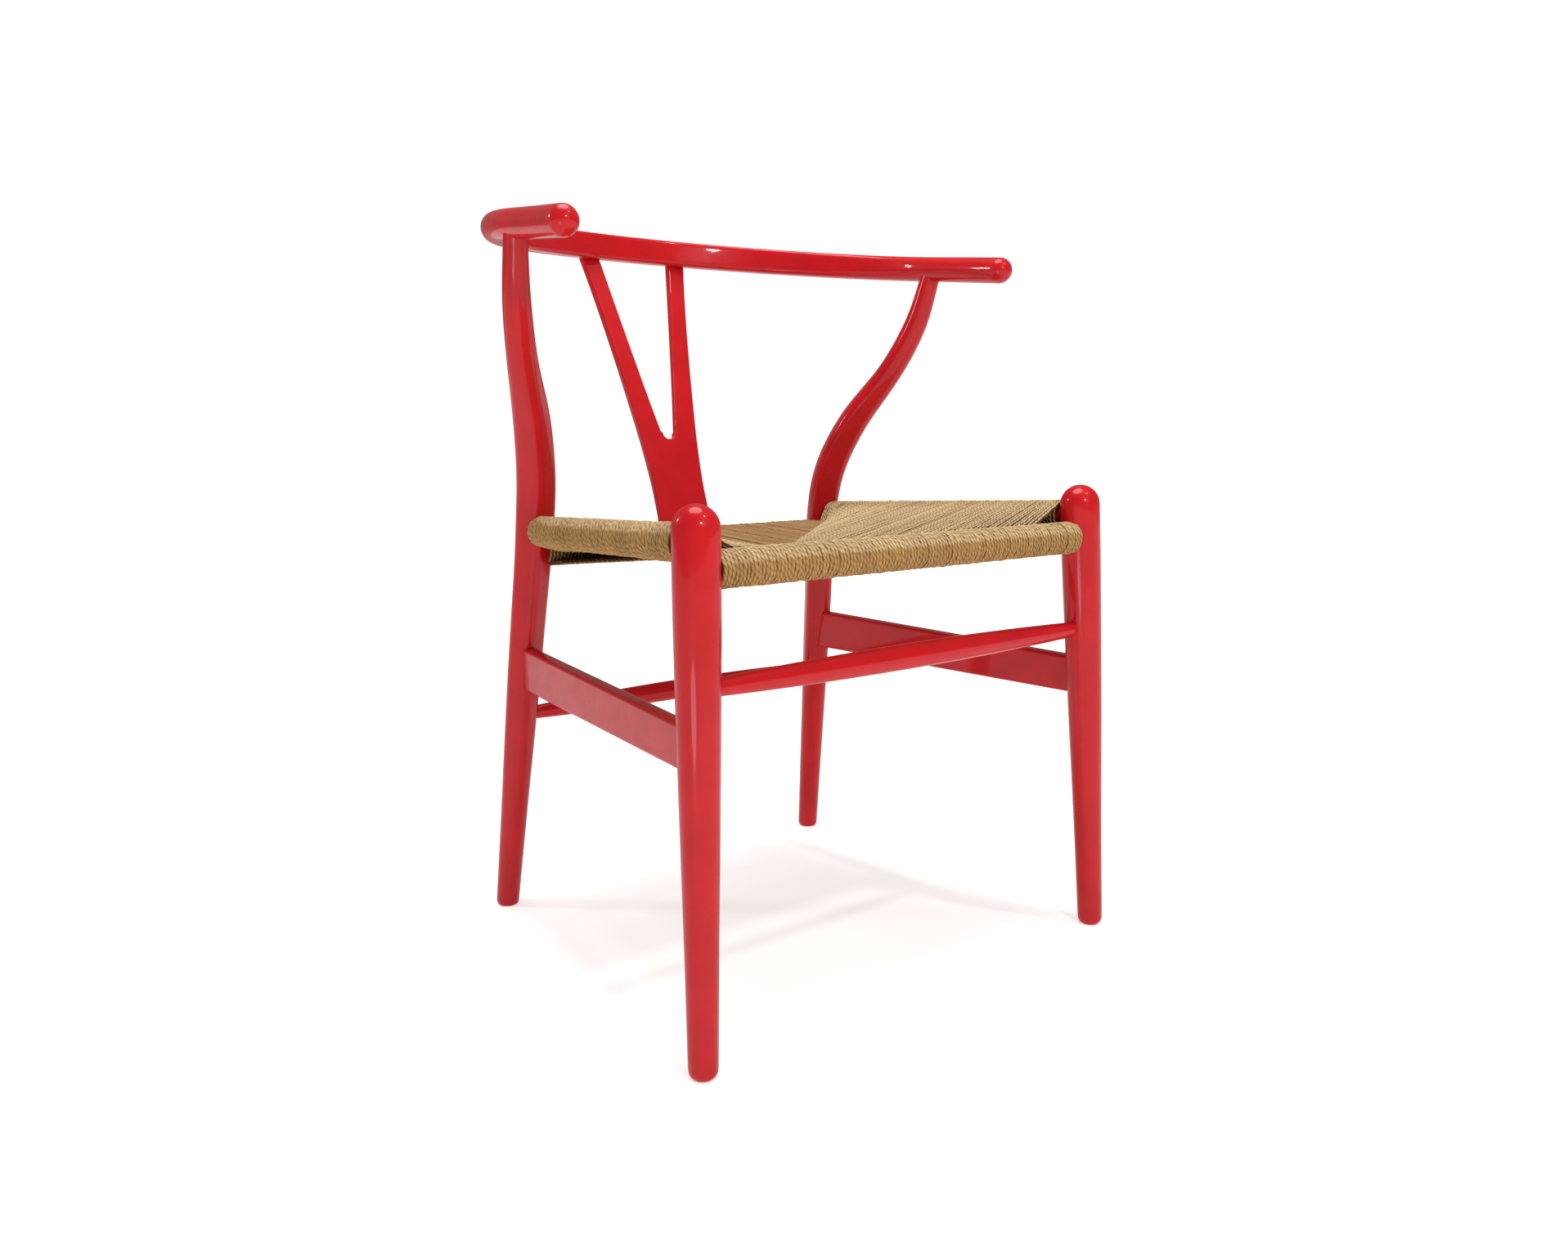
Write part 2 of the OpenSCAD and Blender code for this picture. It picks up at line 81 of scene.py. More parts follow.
class ArmchairSizes(PropertyGroup):
    """Sizes of the chair's wood and cord."""

    width: length("Width", "Across the outsides of the arms", 554)
    depth: length("Depth", "Front legs to the back of the rail", 528)
    height: length("Height", "Top of the bent rail at the back", 776)
    front_leg_h: length("Front leg height", "Top of a front leg's dome", 472)
    front_leg_dia: length("Front leg diameter", "Largest diameter of a front leg", 39.6)
    front_foot_dia: length("Front foot diameter", "Front leg at the floor", 25.5)
    front_foot_span: length("Front foot span", "Between the front legs' axes at the floor", 496.6)
    front_top_span: length("Front top span", "Between the front legs' axes at the top", 461.6)
    rear_leg_size: length("Rear leg size", "Width of a rear leg at the seat", 36)
    rear_top_dia: length("Rear leg top", "Diameter of a rear leg under the rail", 22.5)
    rear_foot_dia: length("Rear foot diameter", "Rear leg at the floor", 25.5)
    rear_foot_span: length("Rear foot span", "Between the rear legs' axes at the floor", 444.4)
    rear_foot_inset: length("Rear foot inset", "Rear feet's axes to the back of the chair", 46)
    rear_bow: length("Rear leg bow", "How far a rear leg bows from a straight line", 73)
    rail_dia: length("Rail diameter", "Bent rail at the arms", 27.6)
    rail_back_h: length("Rail height at the back", "Height of the rail's section at the back", 29.2)
    rail_flat: length("Rail flat", "How much the rail's inner face is flattened", 2.6)
    arm_h: length("Arm height", "Rail's axis at the arm ends", 706.5)
    arm_straight: length("Arm length", "Straight part of each arm", 99.4)
    arm_flare: length("Arm flare", "Outward flare of each arm end", 3.4)
    bend_start: length("Bend start", "How far ahead of the chair's middle the bend starts", 3.9)
    splat_t: length("Back board thickness", "Thickness of the forked board", 9)
    splat_base_w: length("Back board base", "Width where it meets the rear seat rail", 70)
    splat_top_w: length("Back board top", "Width across the fork's tips", 139)
    splat_arm_w: length("Fork arm width", "Width of each arm at its tip", 22)
    crotch_h: length("Fork height", "Bottom of the fork's opening above the floor", 538)
    seat_rail_dia: length("Seat rail diameter", "Wooden seat rails", 24)
    seat_tenon_dia: length("Seat rail ends", "Diameter of the seat rails in the legs", 18)
    seat_front_h: length("Front seat rail height", "Axis of the front seat rail", 419)
    seat_side_front_h: length("Side rail height, front", "Axis at the front legs", 440.5)
    seat_side_rear_h: length("Side rail height, rear", "Axis at the rear legs", 436.5)
    seat_rear_h: length("Rear seat rail height", "Axis of the rear seat rail", 414)
    cord_dia: length("Cord diameter", "Twisted paper cord", 3.9)
    seat_middle_h: length("Seat middle height", "Top of the cord at the seat's middle", 417)
    seam_half: length("Middle seam", "Half the length of the seam in the seat's middle", 22)
    front_stretcher_h: length("Front stretcher height", "Axis of the front stretcher", 324)
    rear_stretcher_h: length("Rear stretcher height", "Axis of the rear stretcher", 231)
    leaf_h: length("Stretcher depth", "Leaf-shaped stretchers at their middle", 24)
    leaf_t: length("Stretcher thickness", "Leaf-shaped stretchers at their middle", 18)
    leaf_tenon_dia: length("Stretcher ends", "Diameter of those stretchers in the legs", 14)
    board_t: length("Side board thickness", "Thickness of the side boards", 15)
    board_front_w: length("Side board, front", "Height of a side board at the front leg", 38.5)
    board_rear_w: length("Side board, rear", "Height of a side board at the rear leg", 47)
    board_front_h: length("Side board height, front", "Its middle at the front leg", 273.5)
    board_rear_h: length("Side board height, rear", "Its middle at the rear leg", 286)
    rear_turn: FloatProperty(
        name="Rear leg turn",
        description="Turn of a rear leg's flat faces",
        default=math.radians(27.5),
        unit="ROTATION",
    )


class ArmchairLooks(PropertyGroup):
    """Colours of the lacquer, the cord and the floor."""

    lacquer: colour("Lacquer", "Main colour of the lacquer", "C3141C")
    lacquer_deep: colour("Lacquer, deep", "Where the lacquer lies thicker", "B91219")
    # Painted light and shade: the first cord colour is the upper face as lit from above, the next is the same
    # cord as in shade round the rails.
    cord: colour("Cord", "Paper cord on the seat's upper face", "F3D4A2")
    cord_in_shade: colour("Cord, aged", "Paper cord where it goes round the rails", "CC9C5A")
    # Painted shade: the dark colour draws the grooves, the places where runs touch and the darker runs, and
    # the stains lean towards it too.
    cord_dark: colour("Cord, dark", "In the grooves between the cord's plies", "4E2E0E")
    floor: colour("Floor", "Studio floor", "F4F3F2")
    strand_sides: IntProperty(
        name="Cord sides", description="Faces round one run of cord", default=8, min=5, max=16
    )


# ---- shapes as arrays ----


def unit(v):
    """Vectors scaled to length one along the last axis."""
    return v / np.linalg.norm(v, axis=-1, keepdims=True)


def mix(a, b, t):
    """The point a share t of the way from a to b."""
    return a + (b - a) * t


def smooth(t):
    """Eases from 0 to 1: 3 t squared less 2 t cubed."""
    t = np.clip(t, 0, 1)
    return t * t * (3 - 2 * t)


def curve_through(rows, s):
    """Cubic through [position, value] rows; each row's slope is that between its two neighbours."""
    x, y = np.array(rows, float).T
    m = np.gradient(y, x) * 0
    m[1:-1] = (y[2:] - y[:-2]) / (x[2:] - x[:-2])
    m[0] = (y[1] - y[0]) / (x[1] - x[0])
    m[-1] = (y[-1] - y[-2]) / (x[-1] - x[-2])
    s = np.asarray(s, float)
    i = np.clip(np.searchsorted(x, s, side="right") - 1, 0, len(x) - 2)
    h = x[i + 1] - x[i]
    t = (s - x[i]) / h
    rise = y[i] * (1 + 2 * t) * (1 - t) ** 2 + y[i + 1] * t * t * (3 - 2 * t)
    return rise + h * m[i] * t * (1 - t) ** 2 + h * m[i + 1] * t * t * (t - 1)


def along_line(p, q, s):
    """Points on the line from p to q at shares s."""
    return np.asarray(p) + (np.asarray(q) - np.asarray(p)) * np.asarray(s)[..., None]


class Frame:
    """Places that several pieces share, worked out from the sizes in metres."""

    def __init__(self, z):
        self.z = z
        half = z.depth / 2
        self.front_foot = np.array([z.front_foot_span / 2, -half + z.front_foot_dia / 2 + MM, 0])
        front_top_y = -half + z.front_leg_dia / 2 + 1.1 * MM
        self.front_top = np.array([z.front_top_span / 2, front_top_y, z.front_leg_h])
        self.rail_b = half - z.rail_dia / 2 + z.bend_start
        self.rail_a = z.width / 2 - z.rail_dia / 2 - z.arm_flare
        self.arm_end_y = -z.bend_start - z.arm_straight
        back_y = self.rail_b - z.bend_start
        self.rail_slope = (z.height - z.rail_back_h / 2 - z.arm_h) / (back_y - self.arm_end_y)
        post_y = 3.2 * MM
        self.post_u = math.degrees(math.acos((post_y + z.bend_start) / self.rail_b))
        self.post_joint = self.rail_at(np.array(self.post_u))
        self.rear_foot = np.array([z.rear_foot_span / 2, half - z.rear_foot_inset, 0])
        self.rear_top = self.post_joint - np.array([0.6 * MM, 0, z.rail_dia / 2 - 2.8 * MM])

    def front_at(self, h):
        """The front leg's axis at height h: a straight line leaning in."""
        return along_line(self.front_foot, self.front_top, np.asarray(h) / self.z.front_leg_h)

    def rail_at(self, u):
        """The bent rail's axis: a half ellipse for u within 90 degrees, then arms that flare as a square."""
        u = np.asarray(u, float)
        t = np.clip((np.abs(u) - 90) / 30, 0, None)
        turn = np.radians(np.clip(u, -90, 90))
        x = self.rail_a * np.sin(turn) + np.sign(u) * self.z.arm_flare * t * t
        y = self.rail_b * np.cos(turn) - self.z.bend_start - self.z.arm_straight * t
        return np.stack([x, y, self.z.arm_h + (y - self.arm_end_y) * self.rail_slope], -1)

    def rear_at(self, h):
        """The rear leg's axis: a straight line from foot to rail plus a bow in one upright plane."""
        bow = [[0, 0], [0.28, 0.444], [0.46, 0.734], [0.60, 0.963], [0.69, 0.997], [0.77, 0.775],
               [0.857, 0.305], [0.927, 0.07], [1, 0], [1.04, 0]]
        s = np.asarray(h, float) / self.rear_top[2]
        line = along_line(self.rear_foot, self.rear_top, s)
        return line + np.array([-0.675, 0.737, 0]) * self.z.rear_bow * curve_through(bow, s)[..., None]


def chair():
    """The shared places for the sizes now set."""
    return Frame(bpy.context.scene.armchair_sizes)


def mesh_object(name, points, quads, extra=(), corner_uv=None):
    """A smooth mesh object from points, quads and extra faces, turned so that its faces point outwards."""
    points = np.asarray(points, float).reshape(-1, 3)
    quads = np.asarray(quads, np.int64).reshape(-1, 4)
    a, b, c, d = (points[quads[:, k]] for k in range(4))
    volume = (a * np.cross(b, c)).sum() + (a * np.cross(c, d)).sum()
    for face in extra:
        rim = points[list(face)]
        volume += (rim[0] * np.cross(rim[1:-1], rim[2:])).sum()
    faces = quads.tolist() + [list(f) for f in extra]
    uv = None if corner_uv is None else np.asarray(corner_uv, float).reshape(len(quads), 4, 2)
    if volume < 0:
        faces = [f[::-1] for f in faces]
        uv = None if uv is None else uv[:, ::-1]
    mesh = bpy.data.meshes.new(name)
    mesh.from_pydata(points.tolist(), [], faces)
    if uv is not None:
        layer = mesh.uv_layers.new(name="along")
        values = np.zeros((len(mesh.loops), 2))
        values[: len(quads) * 4] = uv.reshape(-1, 2)
        layer.data.foreach_set("uv", values.ravel())
    mesh.polygons.foreach_set("use_smooth", [True] * len(mesh.polygons))
    mesh.update()
    piece = bpy.data.objects.new(name, mesh)
    bpy.context.collection.objects.link(piece)
    return piece


def closed_grid(name, rings):
    """A closed skin over rings of points, with one pole at the middle of each end ring."""
    n, m = rings.shape[:2]
    i, j = np.meshgrid(np.arange(n - 1), np.arange(m), indexing="ij")
    k = (j + 1) % m
    quads = np.stack([i * m + j, (i + 1) * m + j, (i + 1) * m + k, i * m + k], -1)
    poles = np.stack([rings[0].mean(0), rings[-1].mean(0)])
    first = [[n * m, q, (q + 1) % m] for q in range(m)]
    last = [[n * m + 1, (n - 1) * m + (q + 1) % m, (n - 1) * m + q] for q in range(m)]
    return mesh_object(name, np.concatenate([rings.reshape(-1, 3), poles]), quads, first + last)


def turned(name, p, q, stations, radii, sides=56):
    """A turned bar: circles of the given radii at distances along the line from p to q."""
    axis = unit(np.asarray(q) - np.asarray(p))
    a = unit(np.cross(axis, [0.0, 0.0, 1.0]) if abs(axis[2]) < 0.9 else np.cross(axis, [0.0, 1.0, 0.0]))
    b = np.cross(axis, a)
    turn = np.linspace(0, 2 * np.pi, sides, endpoint=False)
    circle = np.cos(turn)[:, None] * a + np.sin(turn)[:, None] * b
    middle = np.asarray(p) + axis * np.asarray(stations)[:, None]
    return closed_grid(name, middle[:, None] + np.asarray(radii)[:, None, None] * circle)


def flat_board(name, outline, thickness, edge, place):
    """A flat board: its outline with a quarter round at each face's edge, put in the chair by place."""
    nxt, prev = np.roll(outline, -1, 0), np.roll(outline, 1, 0)
    tangent = unit(unit(nxt - outline) + unit(outline - prev))
    inward = np.stack([-tangent[:, 1], tangent[:, 0]], -1)
    turn = np.radians([0, 0, 22.5, 45, 67.5, 90])
    inset = np.concatenate([edge * (1 - np.sin(turn)), edge * (1 - np.sin(turn[::-1]))])
    inset[0] = inset[-1] = edge + 0.6 * MM
    rise = thickness / 2 - edge * (1 - np.cos(turn))
    rise = np.concatenate([rise, -rise[::-1]])
    loops = outline + inward * inset[:, None, None]
    n, m = loops.shape[:2]
    flat = np.concatenate([loops, np.broadcast_to(rise[:, None, None], (n, m, 1))], -1)
    i, j = np.meshgrid(np.arange(n - 1), np.arange(m), indexing="ij")
    k = (j + 1) % m
    quads = np.stack([i * m + j, (i + 1) * m + j, (i + 1) * m + k, i * m + k], -1)
    caps = [list(range(m)), list(range((n - 1) * m, n * m))[::-1]]
    return mesh_object(name, place(flat.reshape(-1, 3)), quads, caps)


def mirrored(piece, name):
    """A copy of a piece on the chair's other side, its faces turned to point outwards again."""
    other = piece.copy()
    other.data = piece.data.copy()
    other.name = other.data.name = name
    bpy.context.collection.objects.link(other)
    other.data.transform(Matrix.Scale(-1, 4, (1, 0, 0)))
    other.data.flip_normals()
    return other


def dress(piece, material, slot, *nodes):
    """Gives a piece its material, puts it on the chair's body and lets it stand for its CAD nodes."""
    piece.data.materials.clear()
    piece.data.materials.append(material)
    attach(piece, "root")
    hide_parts(*nodes)
    return piece


# ---- materials ----


def add(tree, kind, inputs=None, links=None, **settings):
    """Adds a node to a material, with its settings, its socket values and its links as (node, output)."""
    made = tree.nodes.new(kind)
    for key, value in settings.items():
        setattr(made, key, value)
    for key, value in (inputs or {}).items():
        made.inputs[key].default_value = value
    for key, (source, output) in (links or {}).items():
        tree.links.new(source.outputs[output], made.inputs[key])
    return made


def new_material(name):
    """An empty node material and its tree."""
    material = bpy.data.materials.get(name) or bpy.data.materials.new(name)
    material.use_nodes = True
    material.node_tree.nodes.clear()
    return material, material.node_tree


def lacquered_wood():
    """Alkyd lacquer, sprayed on turned and bent wood."""
    looks = bpy.context.scene.armchair_looks
    material, tree = new_material("alkyd_lacquer_on_beech")
    place = add(tree, "ShaderNodeTexCoord")
    # The coat lies a little thicker here and thinner there, in patches of 3 to 5 cm.
    patchy = {"Scale": 28.0, "Detail": 4.0, "Roughness": 0.6}
    patches = add(tree, "ShaderNodeTexNoise", patchy, {"Vector": (place, "Object")})
    level = add(tree, "ShaderNodeMapRange", {"From Min": 0.35, "From Max": 0.65}, {"Value": (patches, "Fac")})
    tone = add(tree, "ShaderNodeMix", links={0: (level, 0)}, data_type="RGBA")
    tone.inputs[6].default_value = (*looks.lacquer_deep, 1)
    tone.inputs[7].default_value = (*looks.lacquer, 1)
    # A few chips about 1 mm across, one or two in each 4 cm.
    cells = add(tree, "ShaderNodeTexVoronoi", {"Scale": 26.0}, {"Vector": (place, "Object")})
    chip_edge = {"From Min": 0.014, "From Max": 0.022}
    chip = add(tree, "ShaderNodeMapRange", chip_edge, {"Value": (cells, "Distance")})
    chipped = add(tree, "ShaderNodeMix", links={0: (chip, 0), 7: (tone, 2)}, data_type="RGBA")
    chipped.inputs[6].default_value = (*linear_colour("4A1412"), 1)
    # Handling has dulled it in places, which shows as softer edges of the highlights.
    rubbed = {"Scale": 60.0, "Detail": 6.0, "Roughness": 0.65}
    rub = add(tree, "ShaderNodeTexNoise", rubbed, {"Vector": (place, "Object")})
    roughness = {"From Min": 0.3, "From Max": 0.75, "To Min": 0.26, "To Max": 0.44}
    dull = add(tree, "ShaderNodeMapRange", roughness, {"Value": (rub, "Fac")})
    # Orange peel about 1.5 mm across, drawn coarser than the real 0.5 mm so that it shows.
    peel = add(tree, "ShaderNodeTexNoise", {"Scale": 650.0, "Detail": 2.0}, {"Vector": (place, "Object")})
    bump = add(tree, "ShaderNodeBump", {"Strength": 0.35, "Distance": 0.00012}, {"Height": (peel, "Fac")})
    shade = add(
        tree,
        "ShaderNodeBsdfPrincipled",
        {
            "IOR": 1.45,
            "Specular IOR Level": 0.12,
            "Coat Weight": 0.38,
            "Coat Roughness": 0.06,
            "Coat IOR": 1.5,
        },
        {"Base Color": (chipped, 2), "Roughness": (dull, 0), "Normal": (bump, 0)},
    )
    add(tree, "ShaderNodeOutputMaterial", links={"Surface": (shade, 0)})
    return material


def paper_cord():
    """Twisted kraft paper cord of three plies, unbleached."""
    looks = bpy.context.scene.armchair_looks
    material, tree = new_material("twisted_kraft_paper_cord")
    along = add(tree, "ShaderNodeUVMap", uv_map="along")
    parts = add(tree, "ShaderNodeSeparateXYZ", links={0: (along, 0)})
    # Three plies run round the cord once in 15 mm, so a ply passes every 5 mm.
    run = add(tree, "ShaderNodeMath", {1: 2 * math.pi / 0.015}, {0: (parts, 0)}, operation="MULTIPLY")
    round_it = add(tree, "ShaderNodeMath", {1: 2 * math.pi}, {0: (parts, 1)}, operation="MULTIPLY")
    both = add(tree, "ShaderNodeMath", links={0: (run, 0), 1: (round_it, 0)}, operation="ADD")
    plies = add(tree, "ShaderNodeMath", {1: 1.5}, {0: (both, 0)}, operation="MULTIPLY")
    wave = add(tree, "ShaderNodeMath", links={0: (plies, 0)}, operation="SINE")
    height = add(tree, "ShaderNodeMath", links={0: (wave, 0)}, operation="ABSOLUTE")
    place = add(tree, "ShaderNodeTexCoord")
    fibrous = {"Scale": 1800.0, "Detail": 3.0, "Roughness": 0.7}
    fibres = add(tree, "ShaderNodeTexNoise", fibrous, {"Vector": (place, "Object")})
    both_reliefs = {0: (fibres, "Fac"), 2: (height, 0)}
    relief = add(tree, "ShaderNodeMath", {1: 0.35}, both_reliefs, operation="MULTIPLY_ADD")
    bump = add(tree, "ShaderNodeBump", {"Strength": 1.0, "Distance": 0.001}, {"Height": (relief, 0)})
    # Each run's random tone together with its painted shade.
    strand = add(tree, "ShaderNodeAttribute", attribute_name="tone_and_painted_shade")
    blotchy = {"Scale": 22.0, "Detail": 5.0, "Roughness": 0.6}
    stain = add(tree, "ShaderNodeTexNoise", blotchy, {"Vector": (place, "Object")})
    # Painted shade: the cord is darkened in the grooves between its plies.
    in_grooves = {"From Min": 0.0, "From Max": 0.55, "To Min": 0.5, "To Max": 1.0}
    groove = add(tree, "ShaderNodeMapRange", in_grooves, {"Value": (height, 0)})
    in_stains = {"From Min": 0.3, "From Max": 0.7, "To Min": 0.78, "To Max": 1.0}
    worn = add(tree, "ShaderNodeMapRange", in_stains, {"Value": (stain, "Fac")})
    # Painted shade lies where a run touches its neighbours, a quarter turn from its crown.
    side = add(tree, "ShaderNodeMath", links={0: (round_it, 0)}, operation="SINE")
    crown = add(tree, "ShaderNodeMath", links={0: (side, 0)}, operation="ABSOLUTE")
    ridge = add(tree, "ShaderNodeMapRange", {"From Min": 0.38, "From Max": 0.98}, {"Value": (crown, 0)})
    both_dark = add(tree, "ShaderNodeMath", links={0: (groove, 0), 1: (ridge, 0)}, operation="MULTIPLY")
    shadow = add(tree, "ShaderNodeMath", links={0: (both_dark, 0), 1: (worn, 0)}, operation="MULTIPLY")
    toned = add(tree, "ShaderNodeMath", links={0: (shadow, 0), 1: (strand, "Fac")}, operation="MULTIPLY")
    # Painted light and shade: the seat's upper face is drawn in a paler colour, as lit from above, and the
    # turns round the rails in a browner one, as in shade.
    painted_top_light = add(tree, "ShaderNodeAttribute", attribute_name="painted_top_light")
    painted_light_tone = add(tree, "ShaderNodeMix", links={0: (painted_top_light, "Fac")}, data_type="RGBA")
    painted_light_tone.inputs[6].default_value = (*looks.cord_in_shade, 1)
    painted_light_tone.inputs[7].default_value = (*looks.cord, 1)
    tint = add(tree, "ShaderNodeMix", links={0: (toned, 0), 7: (painted_light_tone, 2)}, data_type="RGBA")
    tint.inputs[6].default_value = (*looks.cord_dark, 1)
    shade = add(
        tree,
        "ShaderNodeBsdfPrincipled",
        {"Roughness": 0.8, "IOR": 1.4, "Specular IOR Level": 0.3, "Sheen Weight": 0.1},
        {"Base Color": (tint, 2), "Normal": (bump, 0)},
    )
    add(tree, "ShaderNodeOutputMaterial", links={"Surface": (shade, 0)})
    return material


def studio_floor():
    """Matt white paper sweep, lit a little from behind."""
    material, tree = new_material("matt_paper_sweep")
    tone = (*bpy.context.scene.armchair_looks.floor, 1)
    # The lamps reach 1 to 2 m round the chair; further out the sweep's own glow takes over.
    place = add(tree, "ShaderNodeTexCoord")
    far = add(tree, "ShaderNodeVectorMath", links={0: (place, "Object")}, operation="LENGTH")
    outwards = {"From Min": 0.8, "From Max": 3.5, "To Min": 0.3, "To Max": 0.86}
    glow = add(tree, "ShaderNodeMapRange", outwards, {"Value": (far, "Value")})
    # Seen directly the sweep is lit through from below, which leaves only a faint shadow on it.
    seen = add(tree, "ShaderNodeLightPath")
    glow_and_more = {0: (seen, "Is Camera Ray"), 2: (glow, 0)}
    lift = add(tree, "ShaderNodeMath", {1: 0.22}, glow_and_more, operation="MULTIPLY_ADD")
    shade = add(
        tree,
        "ShaderNodeBsdfPrincipled",
        {"Base Color": tone, "Roughness": 0.9, "Emission Color": (1, 1, 1, 1)},
        {"Emission Strength": (lift, 0)},
    )
    add(tree, "ShaderNodeOutputMaterial", links={"Surface": (shade, 0)})
    return material


# ---- wood ----


class ARMCHAIR_OT_front_legs(Operator):
    """Turn the two front legs, with rounded feet and domed tops"""

    bl_idname = "armchair.front_legs"
    bl_label = "Front Legs"

    def execute(self, context):
        z, c = context.scene.armchair_sizes, chair()
        tall = np.linalg.norm(c.front_top - c.front_foot)
        foot, top, edge, below = z.front_foot_dia / 2, z.front_leg_dia / 2, 9 * MM, 1.5 * MM
        side = [[0, foot], [0.25, foot + 1.9 * MM], [0.53, top - 2.3 * MM], [0.85, top], [1, top]]
        turn = np.radians(np.linspace(4, 90, 12))
        heel = np.stack([edge * (1 - np.cos(turn)) - below, foot - edge + edge * np.sin(turn)])
        s = np.linspace(edge + 3 * MM, tall - top, 60)
        body = np.stack([s, curve_through(side, s / tall)])
        turn = np.radians(np.linspace(4, 89, 24))
        dome = np.stack([tall - top + top * np.sin(turn), top * np.cos(turn)])
        stations, radii = np.concatenate([heel, body, dome], 1)
        left = turned("front_leg_left", c.front_foot, c.front_top, stations, radii)
        on_floor = np.array([v.co for v in left.data.vertices])
        on_floor[:, 2] = np.maximum(on_floor[:, 2], 0)
        left.data.vertices.foreach_set("co", on_floor.ravel())
        right = mirrored(left, "front_leg_right")
        dress(left, lacquered_wood(), "red_lacquer", "front_leg_left")
        dress(right, lacquered_wood(), "red_lacquer", "front_leg_right")
        return {"FINISHED"}


class ARMCHAIR_OT_rear_legs(Operator):
    """Shape the two bowed rear legs, round at both ends and nearly square at the seat"""

    bl_idname = "armchair.rear_legs"
    bl_label = "Rear Legs"

    def execute(self, context):
        z, c = context.scene.armchair_sizes, chair()
        foot, size, top = z.rear_foot_dia / 2, z.rear_leg_size / 2, z.rear_top_dia / 2
        half = [[0, foot], [0.17, foot + 1.6 * MM], [0.35, size - 2.2 * MM], [0.53, size - 1.2 * MM],
                [0.66, size - 0.4 * MM], [0.77, size - 1.4 * MM], [0.85, size - 4 * MM], [0.92, top + 2 * MM],
                [1, top], [1.04, top]]
        roundness = [[0, 1], [0.17, 0.9], [0.35, 0.72], [0.53, 0.64], [0.66, 0.6], [0.77, 0.64],
                     [0.857, 0.82], [0.92, 0.97], [1, 1], [1.04, 1]]
        edge = 9 * MM
        h = np.concatenate([[-2.6, -2, -1, 0, 1, 2, 3, 4.5, 6, 8], np.linspace(10, 722, 150)]) * MM
        s = np.clip(h / c.rear_top[2], 0, None)
        width, k = curve_through(half, s), np.clip(curve_through(roundness, s), 0, 1)
        near = np.clip(edge - (h + 3 * MM), 0, edge)
        width = width - edge + np.sqrt(edge**2 - near**2)
        middle = c.rear_at(h)
        run = unit(c.rear_at(h + MM) - c.rear_at(h - MM))
        face = np.array([-math.sin(z.rear_turn), -math.cos(z.rear_turn), 0])
        a = unit(face - run * (run @ face)[:, None])
        b = np.cross(run, a)
        turn = (np.arange(64) + 0.5) * 2 * np.pi / 64
        u = np.sign(np.cos(turn)) * (width * (1 - k))[:, None] + (width * k)[:, None] * np.cos(turn)
        v = np.sign(np.sin(turn)) * (width * (1 - k))[:, None] + (width * k)[:, None] * np.sin(turn)
        rings = middle[:, None] + u[..., None] * a[:, None] + v[..., None] * b[:, None]
        rings[..., 2] = np.maximum(rings[..., 2], 0)
        left = closed_grid("rear_leg_left", rings)
        right = mirrored(left, "rear_leg_right")
        dress(left, lacquered_wood(), "red_lacquer", "rear_leg_left")
        dress(right, lacquered_wood(), "red_lacquer", "rear_leg_right")
        return {"FINISHED"}


class ARMCHAIR_OT_bent_rail(Operator):
    """Bend the arm and top rail in one piece, with ball ends and a flatter inner face at the back"""

    bl_idname = "armchair.bent_rail"
    bl_label = "Bent Rail"

    def execute(self, context):
        z, c = context.scene.armchair_sizes, chair()
        u = np.linspace(-120, 120, 241)
        run = unit(c.rail_at(u + 0.4) - c.rail_at(u - 0.4))
        up = unit(UPWARDS - run * run[:, 2:])
        out = np.cross(up, run)
        share = smooth((100 - np.abs(u)) / 75)[:, None]
        turn = np.linspace(0, 2 * np.pi, 64, endpoint=False)
        cos, sin = np.cos(turn), np.sin(turn)
        power = np.where(cos < 0, 1 / (1 + 1.9 * share), 1.0)
        deep = np.where(cos < 0, z.rail_dia / 2 - z.rail_flat * share, z.rail_dia / 2)
        tall = mix(z.rail_dia, z.rail_back_h, share) / 2
        across = np.sign(cos) * deep * np.abs(cos) ** power
        rise = np.sign(sin) * tall * np.abs(sin) ** power
        rings = c.rail_at(u)[:, None] + across[..., None] * out[:, None] + rise[..., None] * up[:, None]
        caps = []
        for end in (0, -1):
            lean = np.radians(np.linspace(6, 86, 14))[:, None, None]
            forward = run[end] * (1 if end else -1)
            disc = (cos[:, None] * out[end] + sin[:, None] * up[end]) * z.rail_dia / 2
            caps.append(c.rail_at(u[end]) + forward * np.sin(lean) * z.rail_dia / 2 + disc * np.cos(lean))
        rail = closed_grid("bent_rail", np.concatenate([caps[0][::-1], rings, caps[1]]))
        dress(rail, lacquered_wood(), "red_lacquer", "top_rail")
        return {"FINISHED"}


